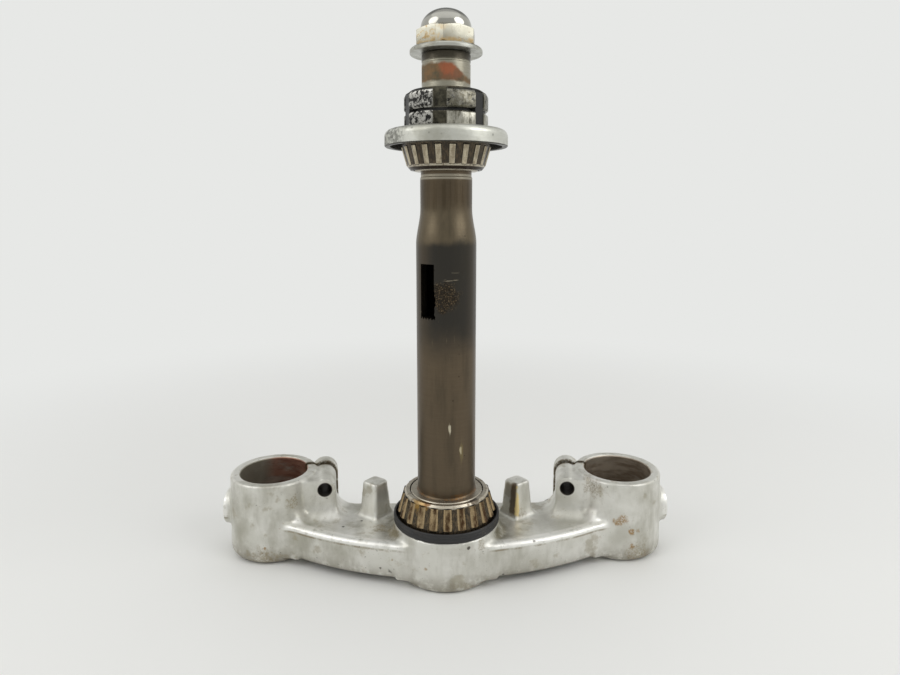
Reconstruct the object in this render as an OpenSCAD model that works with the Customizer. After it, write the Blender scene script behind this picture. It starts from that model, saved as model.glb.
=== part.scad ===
// Lower triple clamp of a motorcycle with its steering stem, tapered head bearings and stem nuts.
// Z runs up the stem axis from the plane that the clamp stands on.
// +Y is the riding direction, so the fork tubes stand ahead of the stem.

/* [Fork clamps] */
// Diameter of the fork tubes
fork_d = 41; // [37:0.5:43]
// Distance between the two fork tube axes
fork_spacing = 218; // [206:1:240]
// How far the fork axes stand ahead of the stem axis
fork_offset = 27.5; // [24:0.5:32]
// Height of the two clamp rings
clamp_h = 49.5; // [47:0.5:56]
// Wall of a clamp ring at its top edge
clamp_wall = 5.8; // [5:0.1:7]
// How much wider a clamp ring is at its foot than at its top
clamp_draft = 1; // [0.4:0.1:2]
// Rounding of a clamp ring's foot
clamp_foot_r = 5; // [2:0.5:7]
// Chamfer at both ends of the fork bores
bore_chamfer = 0.9; // [0.4:0.1:1.5]
// Width of the slit that lets a clamp close
slit_w = 2.5; // [1.5:0.1:4]

/* [Pinch bolts] */
// Thread diameter of the pinch bolts
pinch_d = 8; // [6:1:8]
// Height of the pinch bolt axes
pinch_h = 41.8; // [39:0.2:43]
// Distance of a pinch bolt axis from its fork axis, measured along the slit
pinch_reach = 30; // [28.5:0.5:33]
// Distance of the slit ahead of the fork axes, measured on the pinch bolt axis
slit_ahead = 11; // [8:0.5:13]
// Turn of the pinch bolts towards the outside of the clamp
pinch_turn = 10; // [0:1:15]
// Thickness of the rear ear, from the slit to the bolt head's face
rear_ear_t = 25; // [20:0.5:28]
// Thickness of the front ear, from the slit to its domed end
front_ear_t = 13; // [10:0.5:15]
// Height of the dome on the front ear
ear_dome = 4; // [2:0.5:5]
// Radius of the rear ear's boss
rear_ear_r = 7; // [6.2:0.1:7.6]
// Radius of the front ear's boss
front_ear_r = 8.3; // [7:0.1:9]

/* [Bridge] */
// Height of the bearing seat
seat_h = 30.5; // [29:0.5:34]
// Diameter of the bearing seat
seat_d = 62.4; // [60:0.2:66]
// Taper of the centre boss, on its radius
boss_draft = 1.2; // [0.4:0.1:2]
// Rounding of the centre boss's foot
boss_foot_r = 3.5; // [1.5:0.5:5]
// Height of the arms' underside
arm_floor_h = 4; // [2:0.5:6]
// Height of the arms' rear ridge
arm_ridge_h = 22.5; // [20:0.5:24]
// Width and height of the rounded rim above the ridge
arm_rim = 3; // [2:0.5:4]
// Depth of the shallow hollow in the arms' top, below the rim
arm_dish = 1.5; // [0.5:0.1:2.5]
// Lean of the arms' rear face, between underside and ridge
arm_lean = 1.6; // [0.5:0.1:3]
// Radius of the arms' curved rear face
arm_sweep_r = 184; // [170:1:200]
// Distance of the rear face behind the stem axis
arm_rear = 25; // [22:0.5:27]
// Distance of the front face ahead of the stem axis
arm_front = 33; // [31:0.5:36]
// Half length of the arms' straight front face
arm_front_run = 58; // [50:1:62]
// Radius of the fillets from the arms up to the clamp rings
ring_fillet = 9; // [5:0.5:10]
// Radius of the fillet from the arm up to a rear ear
ear_fillet_r = 9; // [6:0.5:10]
// Radius of the fillet from the arms up to the bearing seat
seat_fillet = 3; // [2:0.5:4]
// Wall left over the pockets in the underside
pocket_roof = 9; // [7:0.5:11]
// Width of the pockets in the underside
pocket_w = 30; // [20:1:31]
// Wall between a pocket and the rear face
pocket_wall = 7; // [5:0.5:10]
// Angle that one pocket spans round the sweep's centre
pocket_span = 6; // [4:0.5:6.5]
// Angle of the rib between two pockets
pocket_rib = 2; // [1:0.5:3]

/* [Steering stops] */
// Distance of the stop pillars from the stem axis
stop_reach = 48; // [46:0.5:52]
// Angle of the stop pillars ahead of the sideways direction
stop_angle = 23; // [18:1:26]
// Height of the stop pillars' tops
stop_h = 48.5; // [44:0.5:54]
// Width of a pillar at its top
stop_top_w = 11.8; // [8:0.2:13]
// Width of a pillar at its foot
stop_foot_w = 14.8; // [12:0.2:17]
// Bevel round a pillar's top
stop_bevel = 2.2; // [1:0.1:3]

/* [Side bosses] */
// Diameter of the threaded bosses on the outside of the rings
side_boss_d = 21.5; // [18:0.5:24]
// How far the side bosses stand out of the rings
side_boss_out = 2.7; // [2:0.1:6]
// Height of the side bosses' axes
side_boss_h = 26; // [22:0.5:28]
// Drilled diameter of their threads
side_thread_d = 6.8; // [5:0.1:8]
// Depth of their threads
side_thread_depth = 7; // [6:0.5:9]

/* [Stem] */
// Diameter of the stem where it is pressed into the bridge
press_d = 36; // [35.5:0.1:38]
// Diameter of the stem's long body
stem_d = 33.8; // [31:0.1:34.9]
// Diameter of the neck under the upper bearing
neck_d = 28.8; // [28.2:0.1:30]
// Diameter of the ring nuts' thread
ring_thread_d = 27.8; // [27:0.1:28]
// Diameter of the pin that carries the upper bridge
pin_d = 26.4; // [25.5:0.1:26.9]
// Diameter of the cap nut's thread
cap_thread_d = 24; // [22:0.5:25]
// Bore of the stem
stem_bore_d = 24.5; // [18:0.5:26]
// Bore of the stem above the taper
neck_bore_d = 18; // [12:0.5:19]
// Height of the lower end of the taper
taper_h = 196; // [190:1:205]
// Length of the taper
taper_len = 16; // [10:1:18]
// Distance from the step on the neck to the upper cone
step_gap = 3; // [2:0.5:5]
// Length of the cap nut's thread
cap_thread_len = 13.5; // [10:0.5:14]
// Width of the steering lock's window
lock_w = 9.5; // [6:0.5:11]
// Height of the steering lock's window
lock_len = 30; // [20:1:36]
// Distance from the window's centre up to the taper
lock_drop = 28; // [24:1:36]
// Turn of the window from straight behind towards the left
lock_turn = 40; // [20:1:60]

/* [Lower bearing] */
// Bore of the lower bearing
lower_bore_d = 35; // [35:0.1:35.4]
// Width of the lower cone
lower_width = 18; // [17.5:0.1:19]
// Diameter of the missing cup's raceway in the plane of the cone's small end
lower_cup_d = 50.5; // [50:0.1:51.5]
// Half angle of the cup's raceway
lower_angle = 16; // [15:0.1:16.6]
// Large diameter of the rollers
lower_roller_d = 6.6; // [6.2:0.1:6.8]
// Length of the rollers
lower_roller_len = 12.2; // [11:0.1:12.4]
// Number of rollers
lower_roller_count = 21; // [18:1:21]
// Diameter of the rib at the cone's large end
lower_back_rib_d = 49; // [47:0.2:50]
// Diameter of the rib at the cone's small end
lower_front_rib_d = 42.3; // [41.6:0.1:43]
// Height of a roller's large end above the cone's back face, at the cup's side
lower_roller_rise = 5; // [4.8:0.1:5.4]
// Height of the cage's flange past the rollers' small ends
lower_rim_h = 1; // [0.8:0.1:1.6]
// Turn of the first roller from straight behind
lower_turn = 1; // [-9:0.5:9]

/* [Upper bearing] */
// Bore of the upper bearing
upper_bore_d = 28; // [28:0.1:28.4]
// Width of the upper cone
upper_width = 16; // [15.5:0.1:17]
// Diameter of the missing cup's raceway in the plane of the cone's small end
upper_cup_d = 42; // [41.6:0.1:43]
// Half angle of the cup's raceway
upper_angle = 16; // [15:0.1:16.6]
// Large diameter of the rollers
upper_roller_d = 5.7; // [5.4:0.1:5.9]
// Length of the rollers
upper_roller_len = 10.6; // [9.6:0.1:10.8]
// Number of rollers
upper_roller_count = 20; // [18:1:20]
// Diameter of the rib at the cone's large end
upper_back_rib_d = 40.4; // [39:0.2:41]
// Diameter of the rib at the cone's small end
upper_front_rib_d = 35; // [34.4:0.1:35.4]
// Height of a roller's large end above the cone's back face, at the cup's side
upper_roller_rise = 3.2; // [3.1:0.1:3.6]
// Height of the cage's flange past the rollers' small ends
upper_rim_h = 1.9; // [0.8:0.1:2]
// Turn of the first roller from straight behind
upper_turn = 7.5; // [-9:0.5:9]
// Distance from the lower end of the taper to the upper cone's small end
neck_len = 37; // [34:0.5:42]

/* [Bearing details] */
// Clearance between the rollers and the cone
run_gap = 0.05; // [0.02:0.01:0.08]
// Clearance of the rollers in the cage's windows
cage_gap = 0.05; // [0.02:0.01:0.08]
// Chamfer at the rollers' ends
roller_chamfer = 0.3; // [0.1:0.05:0.5]
// Thickness of the cage's sheet
cage_t = 1.2; // [0.9:0.1:1.4]
// Distance of the cage's inner face from the rollers' axes
cage_lift = 0.9; // [0.6:0.1:1.1]
// Gap between the cage's flange and the cone's small rib
cage_rim_gap = 0.6; // [0.3:0.1:0.9]
// Width of the cage's ring past the rollers' large ends
cage_foot_w = 2.6; // [2.2:0.1:2.8]

/* [Seal and cover] */
// Thickness of the lower dust seal under the cone
seal_t = 1; // [0.6:0.1:2]
// Height of the seal's rim above the bearing seat
seal_rim_h = 5.5; // [4:0.5:5.5]
// Wall of the seal's rim
seal_rim_w = 1.5; // [1:0.1:1.8]
// Diameter of the upper dust cover
cover_d = 67.4; // [64:0.2:72]
// Thickness of the cover's plate
cover_t = 3.5; // [2.5:0.5:4.5]
// Thickness of the cover's hub, which presses on the cone
cover_hub_t = 6; // [5:0.5:8]
// Height of the cover's rim, hub top to lower edge
cover_rim_h = 9; // [7:0.5:10]
// Wall of the cover's rim
cover_rim_w = 3; // [2:0.5:4]
// Rounding of the cover's shoulder
cover_shoulder = 3.8; // [2:0.1:5]

/* [Ring nuts] */
// Wall of both ring nuts outside their thread
nut_wall = 8.95; // [7.6:0.05:10]
// Height of the adjusting nut
adjust_nut_h = 7.8; // [6:0.2:10]
// Height of the lock nut
lock_nut_h = 10.6; // [8:0.2:12]
// Chamfer on the faces of the ring nuts
nut_chamfer = 0.9; // [0.5:0.1:1.5]
// Width of the bevel on the lock nut's top
lock_nut_bevel = 3.3; // [2:0.1:4]
// Number of spanner slots in each ring nut
slot_count = 6; // [6:1:6]
// Width of a spanner slot
slot_w = 7.4; // [6:0.1:8]
// Depth of a spanner slot
slot_depth = 2.8; // [2:0.1:3.4]
// Turn of the first spanner slot from straight behind
slot_turn = -9; // [-20:1:20]
// Thickness of the lock washer
lock_washer_t = 1.6; // [1:0.1:2]
// Clearance of the lock washer's tabs in the slots
tab_gap = 0.3; // [0.1:0.1:0.6]

/* [Cap nut and washer] */
// Diameter of the stem washer
washer_d = 39.2; // [36:0.2:42]
// Thickness of the stem washer
washer_t = 2.6; // [2:0.1:4]
// Length of the pin between lock nut and stem washer
pin_len = 19.7; // [16:0.1:22]
// Width of the cap nut across its flats
hex_af = 30; // [28:0.5:32]
// Height of the cap nut's hexagon
hex_h = 9; // [8:0.5:12]
// Diameter of the cap nut's dome
dome_d = 27.4; // [26:0.2:27.8]
// Height of the cap nut's dome above the hexagon
dome_h = 11.8; // [9:0.2:13]
// Turn of the cap nut's hexagon
hex_turn = -5; // [-30:1:30]

/* [Hidden] */
$fn = 96;
hair = 0.01;
arc_steps = 6;
root = 2;
sink = 0.3;

fork_x = fork_spacing / 2;
bore_r = fork_d / 2;
ring_top_r = bore_r + clamp_wall;
ring_foot_r = ring_top_r + clamp_draft;
ring_edge = 1;
pinch_x = fork_x - pinch_reach;
slit_y = fork_offset + slit_ahead;
pinch_hole_d = pinch_d + 0.5;
pinch_drill_d = pinch_d * 0.85;
seat_r = seat_d / 2;
arm_rim_h = arm_ridge_h + arm_rim;
arm_top_h = arm_rim_h - arm_dish;
sweep_y = arm_sweep_r - arm_rear;
sweep_angle = asin(fork_x / arm_sweep_r);
pocket_start = asin((seat_r + 5) / (arm_sweep_r - pocket_wall - pocket_w / 2));
stem_r = stem_d / 2;
lower_back_z = seat_h + seal_t;
lower_front_z = lower_back_z + lower_width;
upper_front_z = taper_h + neck_len;
upper_back_z = upper_front_z + upper_width;
step_z = upper_front_z - step_gap;
lock_z = taper_h - lock_drop;
nut_r = ring_thread_d / 2 + nut_wall;
cover_top_z = upper_back_z + cover_hub_t;
adjust_top_z = cover_top_z + adjust_nut_h;
washer_ring_z = adjust_top_z + lock_washer_t;
lock_top_z = washer_ring_z + lock_nut_h;
shoulder_z = lock_top_z + pin_len;
cap_z = shoulder_z + washer_t;
stem_top_z = cap_z + cap_thread_len;
slot_step = 360 / slot_count;
tab_t = slot_depth - 1;

lower = [lower_bore_d, lower_width, lower_cup_d, lower_angle, lower_roller_d,
         lower_roller_len, lower_roller_count, lower_back_rib_d, lower_front_rib_d,
         lower_roller_rise, lower_rim_h, lower_turn];
upper = [upper_bore_d, upper_width, upper_cup_d, upper_angle, upper_roller_d,
         upper_roller_len, upper_roller_count, upper_back_rib_d, upper_front_rib_d,
         upper_roller_rise, upper_rim_h, upper_turn];

// A two-figure number for the names of the rollers
function two(i) = i < 10 ? str("0", i) : str(i);
// Points of an arc about c, from angle a to angle b
function arc(c, r, a, b) = [for (i = [0:arc_steps]) let (t = a + (b - a) * i / arc_steps)
    c + r * [cos(t), sin(t)]];

// Both halves of something drawn on the +X side
module both_sides() {
    children();
    mirror([1, 0, 0]) children();
}

// A solid fillet that flares from the radius r out to r + f, standing on height z
module flare(r, z, f) {
    rotate_extrude()
        polygon(concat([[r - root, z - root], [r + f, z - root]], arc([r + f, z + f], f, 270, 180),
            [[r - root, z + f]]));
}

// Clamp ring without its bore
module ring_blank() {
    translate([fork_x, fork_offset])
        rotate_extrude()
            polygon(concat([[0, 0]],
                arc([ring_foot_r - clamp_foot_r, clamp_foot_r], clamp_foot_r, 270, 360),
                [[ring_top_r, clamp_h - ring_edge], [ring_top_r - ring_edge, clamp_h], [0, clamp_h]]));
}

// Fork bore with its two chamfers
module fork_bore() {
    translate([fork_x, fork_offset]) {
        translate([0, 0, -1]) cylinder(h = clamp_h + 2, r = bore_r);
        translate([0, 0, -hair]) cylinder(h = bore_chamfer + hair, r1 = bore_r + bore_chamfer, r2 = bore_r);
        translate([0, 0, clamp_h - bore_chamfer])
            cylinder(h = bore_chamfer + hair, r1 = bore_r, r2 = bore_r + bore_chamfer);
    }
}

// Places its children on the pinch bolt's axis, with Y along the bolt and the slit at 0
module at_pinch() {
    translate([pinch_x, slit_y, pinch_h]) rotate([0, 0, -pinch_turn]) children();
}

// Ear behind the slit, which carries the bolt's head
module rear_ear() {
    at_pinch() rotate([90, 0, 0]) linear_extrude(rear_ear_t) {
        circle(rear_ear_r);
        polygon([[-rear_ear_r, 0], [-rear_ear_r, arm_floor_h - pinch_h],
                 [pinch_reach / 2, arm_floor_h - pinch_h], [pinch_reach / 2, rear_ear_r - 1],
                 [0, rear_ear_r - 1]]);
    }
}

// Ear ahead of the slit, which carries the bolt's thread, with a domed end
module front_ear() {
    body_t = front_ear_t - ear_dome;
    at_pinch() {
        translate([0, body_t]) rotate([90, 0, 0]) linear_extrude(body_t) {
            circle(front_ear_r);
            polygon([[-front_ear_r, 0], [-front_ear_r, -pinch_h / 2], [pinch_reach / 2, -pinch_h * 0.8],
                     [pinch_reach / 2, front_ear_r - 3]]);
        }
        translate([0, body_t - hair]) rotate([-90, 0, 0]) rotate_extrude()
            polygon(concat([[0, 0]], [for (i = [0:arc_steps]) let (t = 90 * i / arc_steps)
                [front_ear_r * cos(t), ear_dome * sin(t)]]));
    }
}

// Slit, bolt hole and bolt thread of one clamp
module pinch_cuts() {
    at_pinch() {
        translate([-rear_ear_t, -slit_w / 2, -pinch_h - 1])
            cube([rear_ear_t + pinch_reach - bore_r / 2, slit_w, clamp_h + 12]);
        rotate([90, 0, 0]) cylinder(h = rear_ear_t + 20, d = pinch_hole_d);
        translate([0, -hair]) rotate([-90, 0, 0]) cylinder(h = front_ear_t + 8, d = pinch_drill_d);
    }
}

// Outline of both arms as seen from above
module arm_plan() {
    polygon([[-fork_x, slit_y - slit_ahead], [-pinch_x - 1, slit_y - slit_w / 2 - 1],
             [-pinch_x + rear_ear_r, slit_y - slit_w - 1],
             [-arm_front_run, arm_front], [arm_front_run, arm_front],
             [pinch_x - rear_ear_r, slit_y - slit_w - 1],
             [pinch_x + 1, slit_y - slit_w / 2 - 1], [fork_x, slit_y - slit_ahead],
             [fork_x, -2 * arm_rear], [-fork_x, -2 * arm_rear]]);
}

// A cross-section swept about the centre of the rear face, from angle a to angle b
module swept(a, b) {
    translate([0, sweep_y]) rotate([0, 0, a - 90]) rotate_extrude(angle = b - a, $fn = 240) children();
}

// Cross-section of an arm: rear face, ridge, rounded rim and the shallow hollow ahead of it
module arm_section() {
    inner_r = arm_sweep_r - arm_rear - arm_front - 12;
    polygon(concat([[inner_r, arm_floor_h], [arm_sweep_r - arm_lean - 2, arm_floor_h],
                    [arm_sweep_r - arm_lean, arm_floor_h + 2]],
        arc([arm_sweep_r - arm_rim, arm_ridge_h], arm_rim, 0, 90),
        [[arm_sweep_r - 2 * arm_rim - arm_dish, arm_top_h], [inner_r, arm_top_h]]));
}

// Fillet from the arm up to the rear face of an ear
module ear_fillet() {
    face_y = -rear_ear_t + sink;
    foot_z = arm_top_h - sink;
    side = 0.4;
    translate([0, 0, foot_z - pinch_h]) at_pinch()
        translate([side - rear_ear_r, 0, 0]) rotate([90, 0, 90])
            linear_extrude(rear_ear_r + pinch_reach / 2 - 2 * side)
                polygon(concat([[face_y + root, -root], [face_y - ear_fillet_r, -root]],
                    arc([face_y - ear_fillet_r, ear_fillet_r], ear_fillet_r, 270, 360),
                    [[face_y + root, ear_fillet_r]]));
}

// Fillets from the arms up to the rings, the ears and the bearing seat, kept off the rim
module arm_fillets() {
    intersection() {
        union() {
            both_sides() {
                translate([fork_x, fork_offset]) flare(ring_top_r - sink, arm_top_h - sink, ring_fillet);
                ear_fillet();
            }
            flare(seat_r - seat_fillet / 2, arm_top_h - sink, seat_fillet);
        }
        translate([0, sweep_y]) cylinder(h = clamp_h, r = arm_sweep_r - 1.3 * arm_rim, $fn = 240);
    }
}

// Both arms, with the fillets on them
module arms() {
    intersection() {
        union() {
            swept(-sweep_angle, sweep_angle) arm_section();
            arm_fillets();
        }
        linear_extrude(clamp_h) arm_plan();
    }
}

// Round boss under the lower bearing
module centre_boss() {
    foot_r = seat_r - boss_draft;
    rotate_extrude()
        polygon(concat([[0, 0]], arc([foot_r - boss_foot_r, boss_foot_r], boss_foot_r, 270, 360),
            [[seat_r, seat_h - 1], [seat_r - 0.6, seat_h], [0, seat_h]]));
}

// Pockets in the underside of one arm, with a rib between them
module pockets() {
    out_r = arm_sweep_r - pocket_wall;
    roof_z = arm_top_h - pocket_roof;
    for (i = [0:1]) {
        a = pocket_start + i * (pocket_span + pocket_rib);
        swept(a, a + pocket_span)
            polygon([[out_r - pocket_w, -1], [out_r, -1], [out_r, roof_z - root], [out_r - root, roof_z],
                     [out_r - pocket_w + root, roof_z], [out_r - pocket_w, roof_z - root]]);
    }
}

// Four thin discs at the corners of a square, as one layer of a pillar
module pillar_layer(w, z) {
    r = 1.6;
    for (x = [-1, 1], y = [-1, 1])
        translate([x * (w / 2 - r), y * (w / 2 - r), z]) cylinder(h = hair, r = r, $fn = 32);
}

// Steering stop pillar, square to the line from the stem axis
module stop_pillar() {
    rotate([0, 0, stop_angle]) translate([stop_reach, 0]) hull() {
        pillar_layer(stop_foot_w, arm_top_h - 2);
        pillar_layer(stop_top_w, stop_h - stop_bevel);
        pillar_layer(stop_top_w - 2 * stop_bevel, stop_h - hair);
    }
}

// Threaded boss on the outside of a ring, drawn out to the right
module side_boss() {
    translate([fork_x + bore_r + 1, fork_offset, side_boss_h]) rotate([0, 90, 0])
        cylinder(h = ring_foot_r - bore_r - 1 + side_boss_out, d = side_boss_d);
}

// Blind drilled hole in the side boss
module side_thread() {
    translate([fork_x + ring_foot_r + side_boss_out - side_thread_depth, fork_offset, side_boss_h])
        rotate([0, 90, 0]) cylinder(h = side_thread_depth + 1, d = side_thread_d);
}

// The cast bridge in one piece
module lower_bridge() {
    color([0.72, 0.72, 0.68]) difference() {
        union() {
            both_sides() {
                ring_blank();
                rear_ear();
                front_ear();
                stop_pillar();
                side_boss();
            }
            arms();
            centre_boss();
        }
        both_sides() {
            fork_bore();
            pinch_cuts();
            side_thread();
            pockets();
        }
        translate([0, 0, -1]) cylinder(h = seat_h + 2, d = press_d);
    }
}

// Hollow stem with its press fit, bearing seats, taper, threads and pin
module steering_stem() {
    lead = 1;
    blend = 0.4;
    press_r = press_d / 2;
    bore_r1 = stem_bore_d / 2;
    bore_r2 = neck_bore_d / 2;
    bore_top_z = taper_h - 4;
    color([0.33, 0.30, 0.26]) difference() {
        rotate_extrude()
            polygon([[bore_r1, 0], [press_r - lead, 0], [press_r, lead], [press_r, seat_h],
                     [lower_bore_d / 2, seat_h], [lower_bore_d / 2, lower_front_z],
                     [stem_r, lower_front_z + 2 * blend], [stem_r, taper_h],
                     [neck_d / 2, taper_h + taper_len], [neck_d / 2, step_z],
                     [upper_bore_d / 2, step_z + blend], [upper_bore_d / 2, upper_back_z],
                     [ring_thread_d / 2, upper_back_z + blend], [ring_thread_d / 2, lock_top_z],
                     [pin_d / 2, lock_top_z], [pin_d / 2, shoulder_z], [cap_thread_d / 2, shoulder_z],
                     [cap_thread_d / 2, stem_top_z - lead], [cap_thread_d / 2 - lead, stem_top_z],
                     [bore_r2, stem_top_z], [bore_r2, bore_top_z + bore_r1 - bore_r2],
                     [bore_r1, bore_top_z]]);
        rotate([0, 0, -90 - lock_turn]) translate([stem_r / 4, -lock_w / 2, lock_z - lock_len / 2])
            cube([stem_r, lock_w, lock_len]);
    }
}

// Height of the point in which all of a bearing's roller lines meet, above the cone's back face
function apex(b) = b[1] + b[2] / 2 / tan(b[3]);
// Length of the line from there to the roller's large end, on the cup's side
function reach(b) = (apex(b) - b[9]) / cos(b[3]);
// Half angle of a roller, and the slope of its axis and of the cone's raceway
function roller_half(b) = asin(b[4] / 2 / reach(b));
function axis_tilt(b) = b[3] - roller_half(b);
function cone_tilt(b) = b[3] - 2 * roller_half(b);
// Distances of the roller's two ends from the apex, along its axis
function far_end(b) = reach(b) * cos(roller_half(b));
function near_end(b) = far_end(b) - b[5];
// Height at the radius r of a face square to the roller's axis at the distance s from the apex
function end_z(b, s, r) = apex(b) - s * cos(axis_tilt(b)) + (r - s * sin(axis_tilt(b))) * tan(axis_tilt(b));
// Radius of the cone's raceway at height z
function race_r(b, z) = (apex(b) - z) * tan(cone_tilt(b)) - run_gap / cos(cone_tilt(b));
// Height at which that face meets the raceway
function meet_z(b, s) = (end_z(b, s, 0) + race_r(b, 0) * tan(axis_tilt(b)))
    / (1 + tan(cone_tilt(b)) * tan(axis_tilt(b)));
// Height of the cage's flange, just past the rollers' small ends
function flange_z(b) = apex(b) - near_end(b) / cos(roller_half(b)) * cos(b[3]) + 0.15;

// Inner ring with its raceway between two ribs, standing on its back face
module cone_ring(b) {
    back = far_end(b) + run_gap;
    front = near_end(b) - run_gap;
    back_r = b[7] / 2;
    front_r = b[8] / 2;
    rotate_extrude()
        polygon([[b[0] / 2, 0], [back_r - 0.6, 0], [back_r, 0.6], [back_r, end_z(b, back, back_r)],
                 [race_r(b, meet_z(b, back)), meet_z(b, back)],
                 [race_r(b, meet_z(b, front)), meet_z(b, front)],
                 [front_r, end_z(b, front, front_r)], [front_r, b[1] - 0.4], [front_r - 0.4, b[1]],
                 [b[0] / 2, b[1]]]);
}

// Tapered roller number i, grown by g all round
module roller(b, i, g) {
    h = roller_half(b);
    c = g > 0 ? 0 : roller_chamfer;
    s0 = near_end(b) - g;
    s1 = far_end(b) + g;
    r0 = s0 * tan(h) + g;
    r1 = s1 * tan(h) + g;
    rotate([0, 0, -90 + b[11] + 360 * (i - 1) / b[6]])
        translate([0, 0, apex(b)]) rotate([0, 180 - axis_tilt(b), 0]) rotate_extrude($fn = 48)
            polygon(c > 0 ? [[0, s0], [r0 - c, s0], [r0, s0 + c], [r1, s1 - c], [r1 - c, s1], [0, s1]]
                          : [[0, s0], [r0, s0], [r1, s1], [0, s1]]);
}

// Sheet cage: a cone with one window for each roller, and a flange over their small ends
module cage(b) {
    m = axis_tilt(b);
    inner = cage_lift / cos(m);
    outer = (cage_lift + cage_t) / cos(m);
    foot = b[9] - cage_foot_w;
    top = flange_z(b);
    rim_r = b[8] / 2 + cage_rim_gap;
    lip = 0.9;
    function line_r(z) = (apex(b) - z) * tan(m);
    difference() {
        rotate_extrude()
            polygon([[line_r(foot) + inner, foot], [line_r(foot) + outer, foot], [line_r(top) + outer, top],
                     [line_r(top) + outer - lip * b[10], top + b[10]], [rim_r, top + b[10]],
                     [rim_r, top + b[10] - lip], [line_r(top) + inner, top]]);
        for (i = [1:b[6]]) roller(b, i, cage_gap);
    }
}

// Places its children on the lower seat, large end down
module at_lower() {
    translate([0, 0, lower_back_z]) children();
}

// Places its children under the upper cover, large end up
module at_upper() {
    translate([0, 0, upper_back_z]) mirror([0, 0, 1]) children();
}

module lower_bearing_cone() {
    color([0.50, 0.47, 0.42]) at_lower() cone_ring(lower);
}

module lower_bearing_cage() {
    color([0.42, 0.38, 0.33]) at_lower() cage(lower);
}

module lower_roller(i) {
    color([0.45, 0.36, 0.26]) at_lower() roller(lower, i, 0);
}

module upper_bearing_cone() {
    color([0.50, 0.47, 0.42]) at_upper() cone_ring(upper);
}

module upper_bearing_cage() {
    color([0.42, 0.38, 0.33]) at_upper() cage(upper);
}

module upper_roller(i) {
    color([0.62, 0.58, 0.48]) at_upper() roller(upper, i, 0);
}

// Rubber seal that lies under the lower cone and stands up round its large end
module lower_dust_seal() {
    lip = 0.5;
    color([0.08, 0.08, 0.08]) translate([0, 0, seat_h]) rotate_extrude()
        polygon([[lower_bore_d / 2, 0], [seat_r, 0], [seat_r, seal_rim_h - lip],
                 [seat_r - lip, seal_rim_h], [seat_r - seal_rim_w, seal_rim_h],
                 [seat_r - seal_rim_w - 2 * lip, seal_t], [lower_bore_d / 2, seal_t]]);
}

// Dished cover over the upper bearing, with a hub that presses on the cone
module upper_dust_cover() {
    r = cover_d / 2;
    rim_z = cover_top_z - cover_rim_h;
    hub_r = upper_back_rib_d / 2 - 0.6;
    color([0.60, 0.61, 0.58]) rotate_extrude()
        polygon(concat([[upper_bore_d / 2, upper_back_z], [hub_r, upper_back_z],
            [hub_r, cover_top_z - cover_t], [r - cover_rim_w - 1, cover_top_z - cover_t],
            [r - cover_rim_w, cover_top_z - cover_t - 1], [r - cover_rim_w, rim_z], [r, rim_z]],
            arc([r - cover_shoulder, cover_top_z - cover_shoulder], cover_shoulder, 0, 90),
            [[upper_bore_d / 2, cover_top_z]]));
}

// Spanner slots cut into a ring nut between two heights
module spanner_slots(z, h) {
    for (i = [0:slot_count - 1])
        rotate([0, 0, -90 + slot_turn + i * slot_step])
            translate([nut_r - slot_depth, -slot_w / 2, z - 1]) cube([slot_depth + 2, slot_w, h + 2]);
}

// Slotted nut that sets the bearings' play
module adjusting_nut() {
    c = nut_chamfer;
    color([0.30, 0.29, 0.27]) difference() {
        rotate_extrude()
            polygon([[ring_thread_d / 2, cover_top_z], [nut_r - c, cover_top_z],
                     [nut_r, cover_top_z + c], [nut_r, adjust_top_z - c],
                     [nut_r - c, adjust_top_z], [ring_thread_d / 2, adjust_top_z]]);
        spanner_slots(cover_top_z, adjust_nut_h);
    }
}

// Flat ring between the two nuts, with a tab up and a tab down in every other slot
module lock_washer() {
    tab_w = slot_w - 2 * tab_gap;
    root_r = nut_r - slot_depth + tab_gap;
    color([0.06, 0.06, 0.06]) difference() {
        union() {
            translate([0, 0, adjust_top_z]) cylinder(h = lock_washer_t, r = nut_r - slot_depth - 0.5);
            for (i = [1:2:slot_count - 1]) rotate([0, 0, -90 + slot_turn + i * slot_step]) {
                translate([ring_thread_d / 2 + 2, -tab_w / 2, adjust_top_z])
                    cube([root_r + tab_t - ring_thread_d / 2 - 2, tab_w, lock_washer_t]);
                translate([root_r, -tab_w / 2, cover_top_z + 1])
                    cube([tab_t, tab_w, lock_top_z - cover_top_z - lock_nut_bevel]);
            }
        }
        translate([0, 0, adjust_top_z - 1]) cylinder(h = lock_washer_t + 2, d = ring_thread_d + 0.4);
    }
}

// Slotted nut that holds the adjusting nut, bevelled on top
module lock_nut() {
    c = nut_chamfer;
    color([0.16, 0.16, 0.16]) difference() {
        rotate_extrude()
            polygon([[ring_thread_d / 2, washer_ring_z], [nut_r - c, washer_ring_z],
                     [nut_r, washer_ring_z + c], [nut_r, lock_top_z - lock_nut_bevel],
                     [nut_r - lock_nut_bevel, lock_top_z],
                     [ring_thread_d / 2, lock_top_z]]);
        spanner_slots(washer_ring_z, lock_nut_h);
    }
}

// Flat washer on the stem's shoulder
module stem_washer() {
    r = washer_d / 2;
    color([0.62, 0.62, 0.60]) rotate_extrude()
        polygon([[cap_thread_d / 2, shoulder_z], [r - 0.3, shoulder_z], [r, shoulder_z + 0.3],
                 [r, cap_z - 0.8], [r - 0.8, cap_z], [cap_thread_d / 2, cap_z]]);
}

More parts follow.
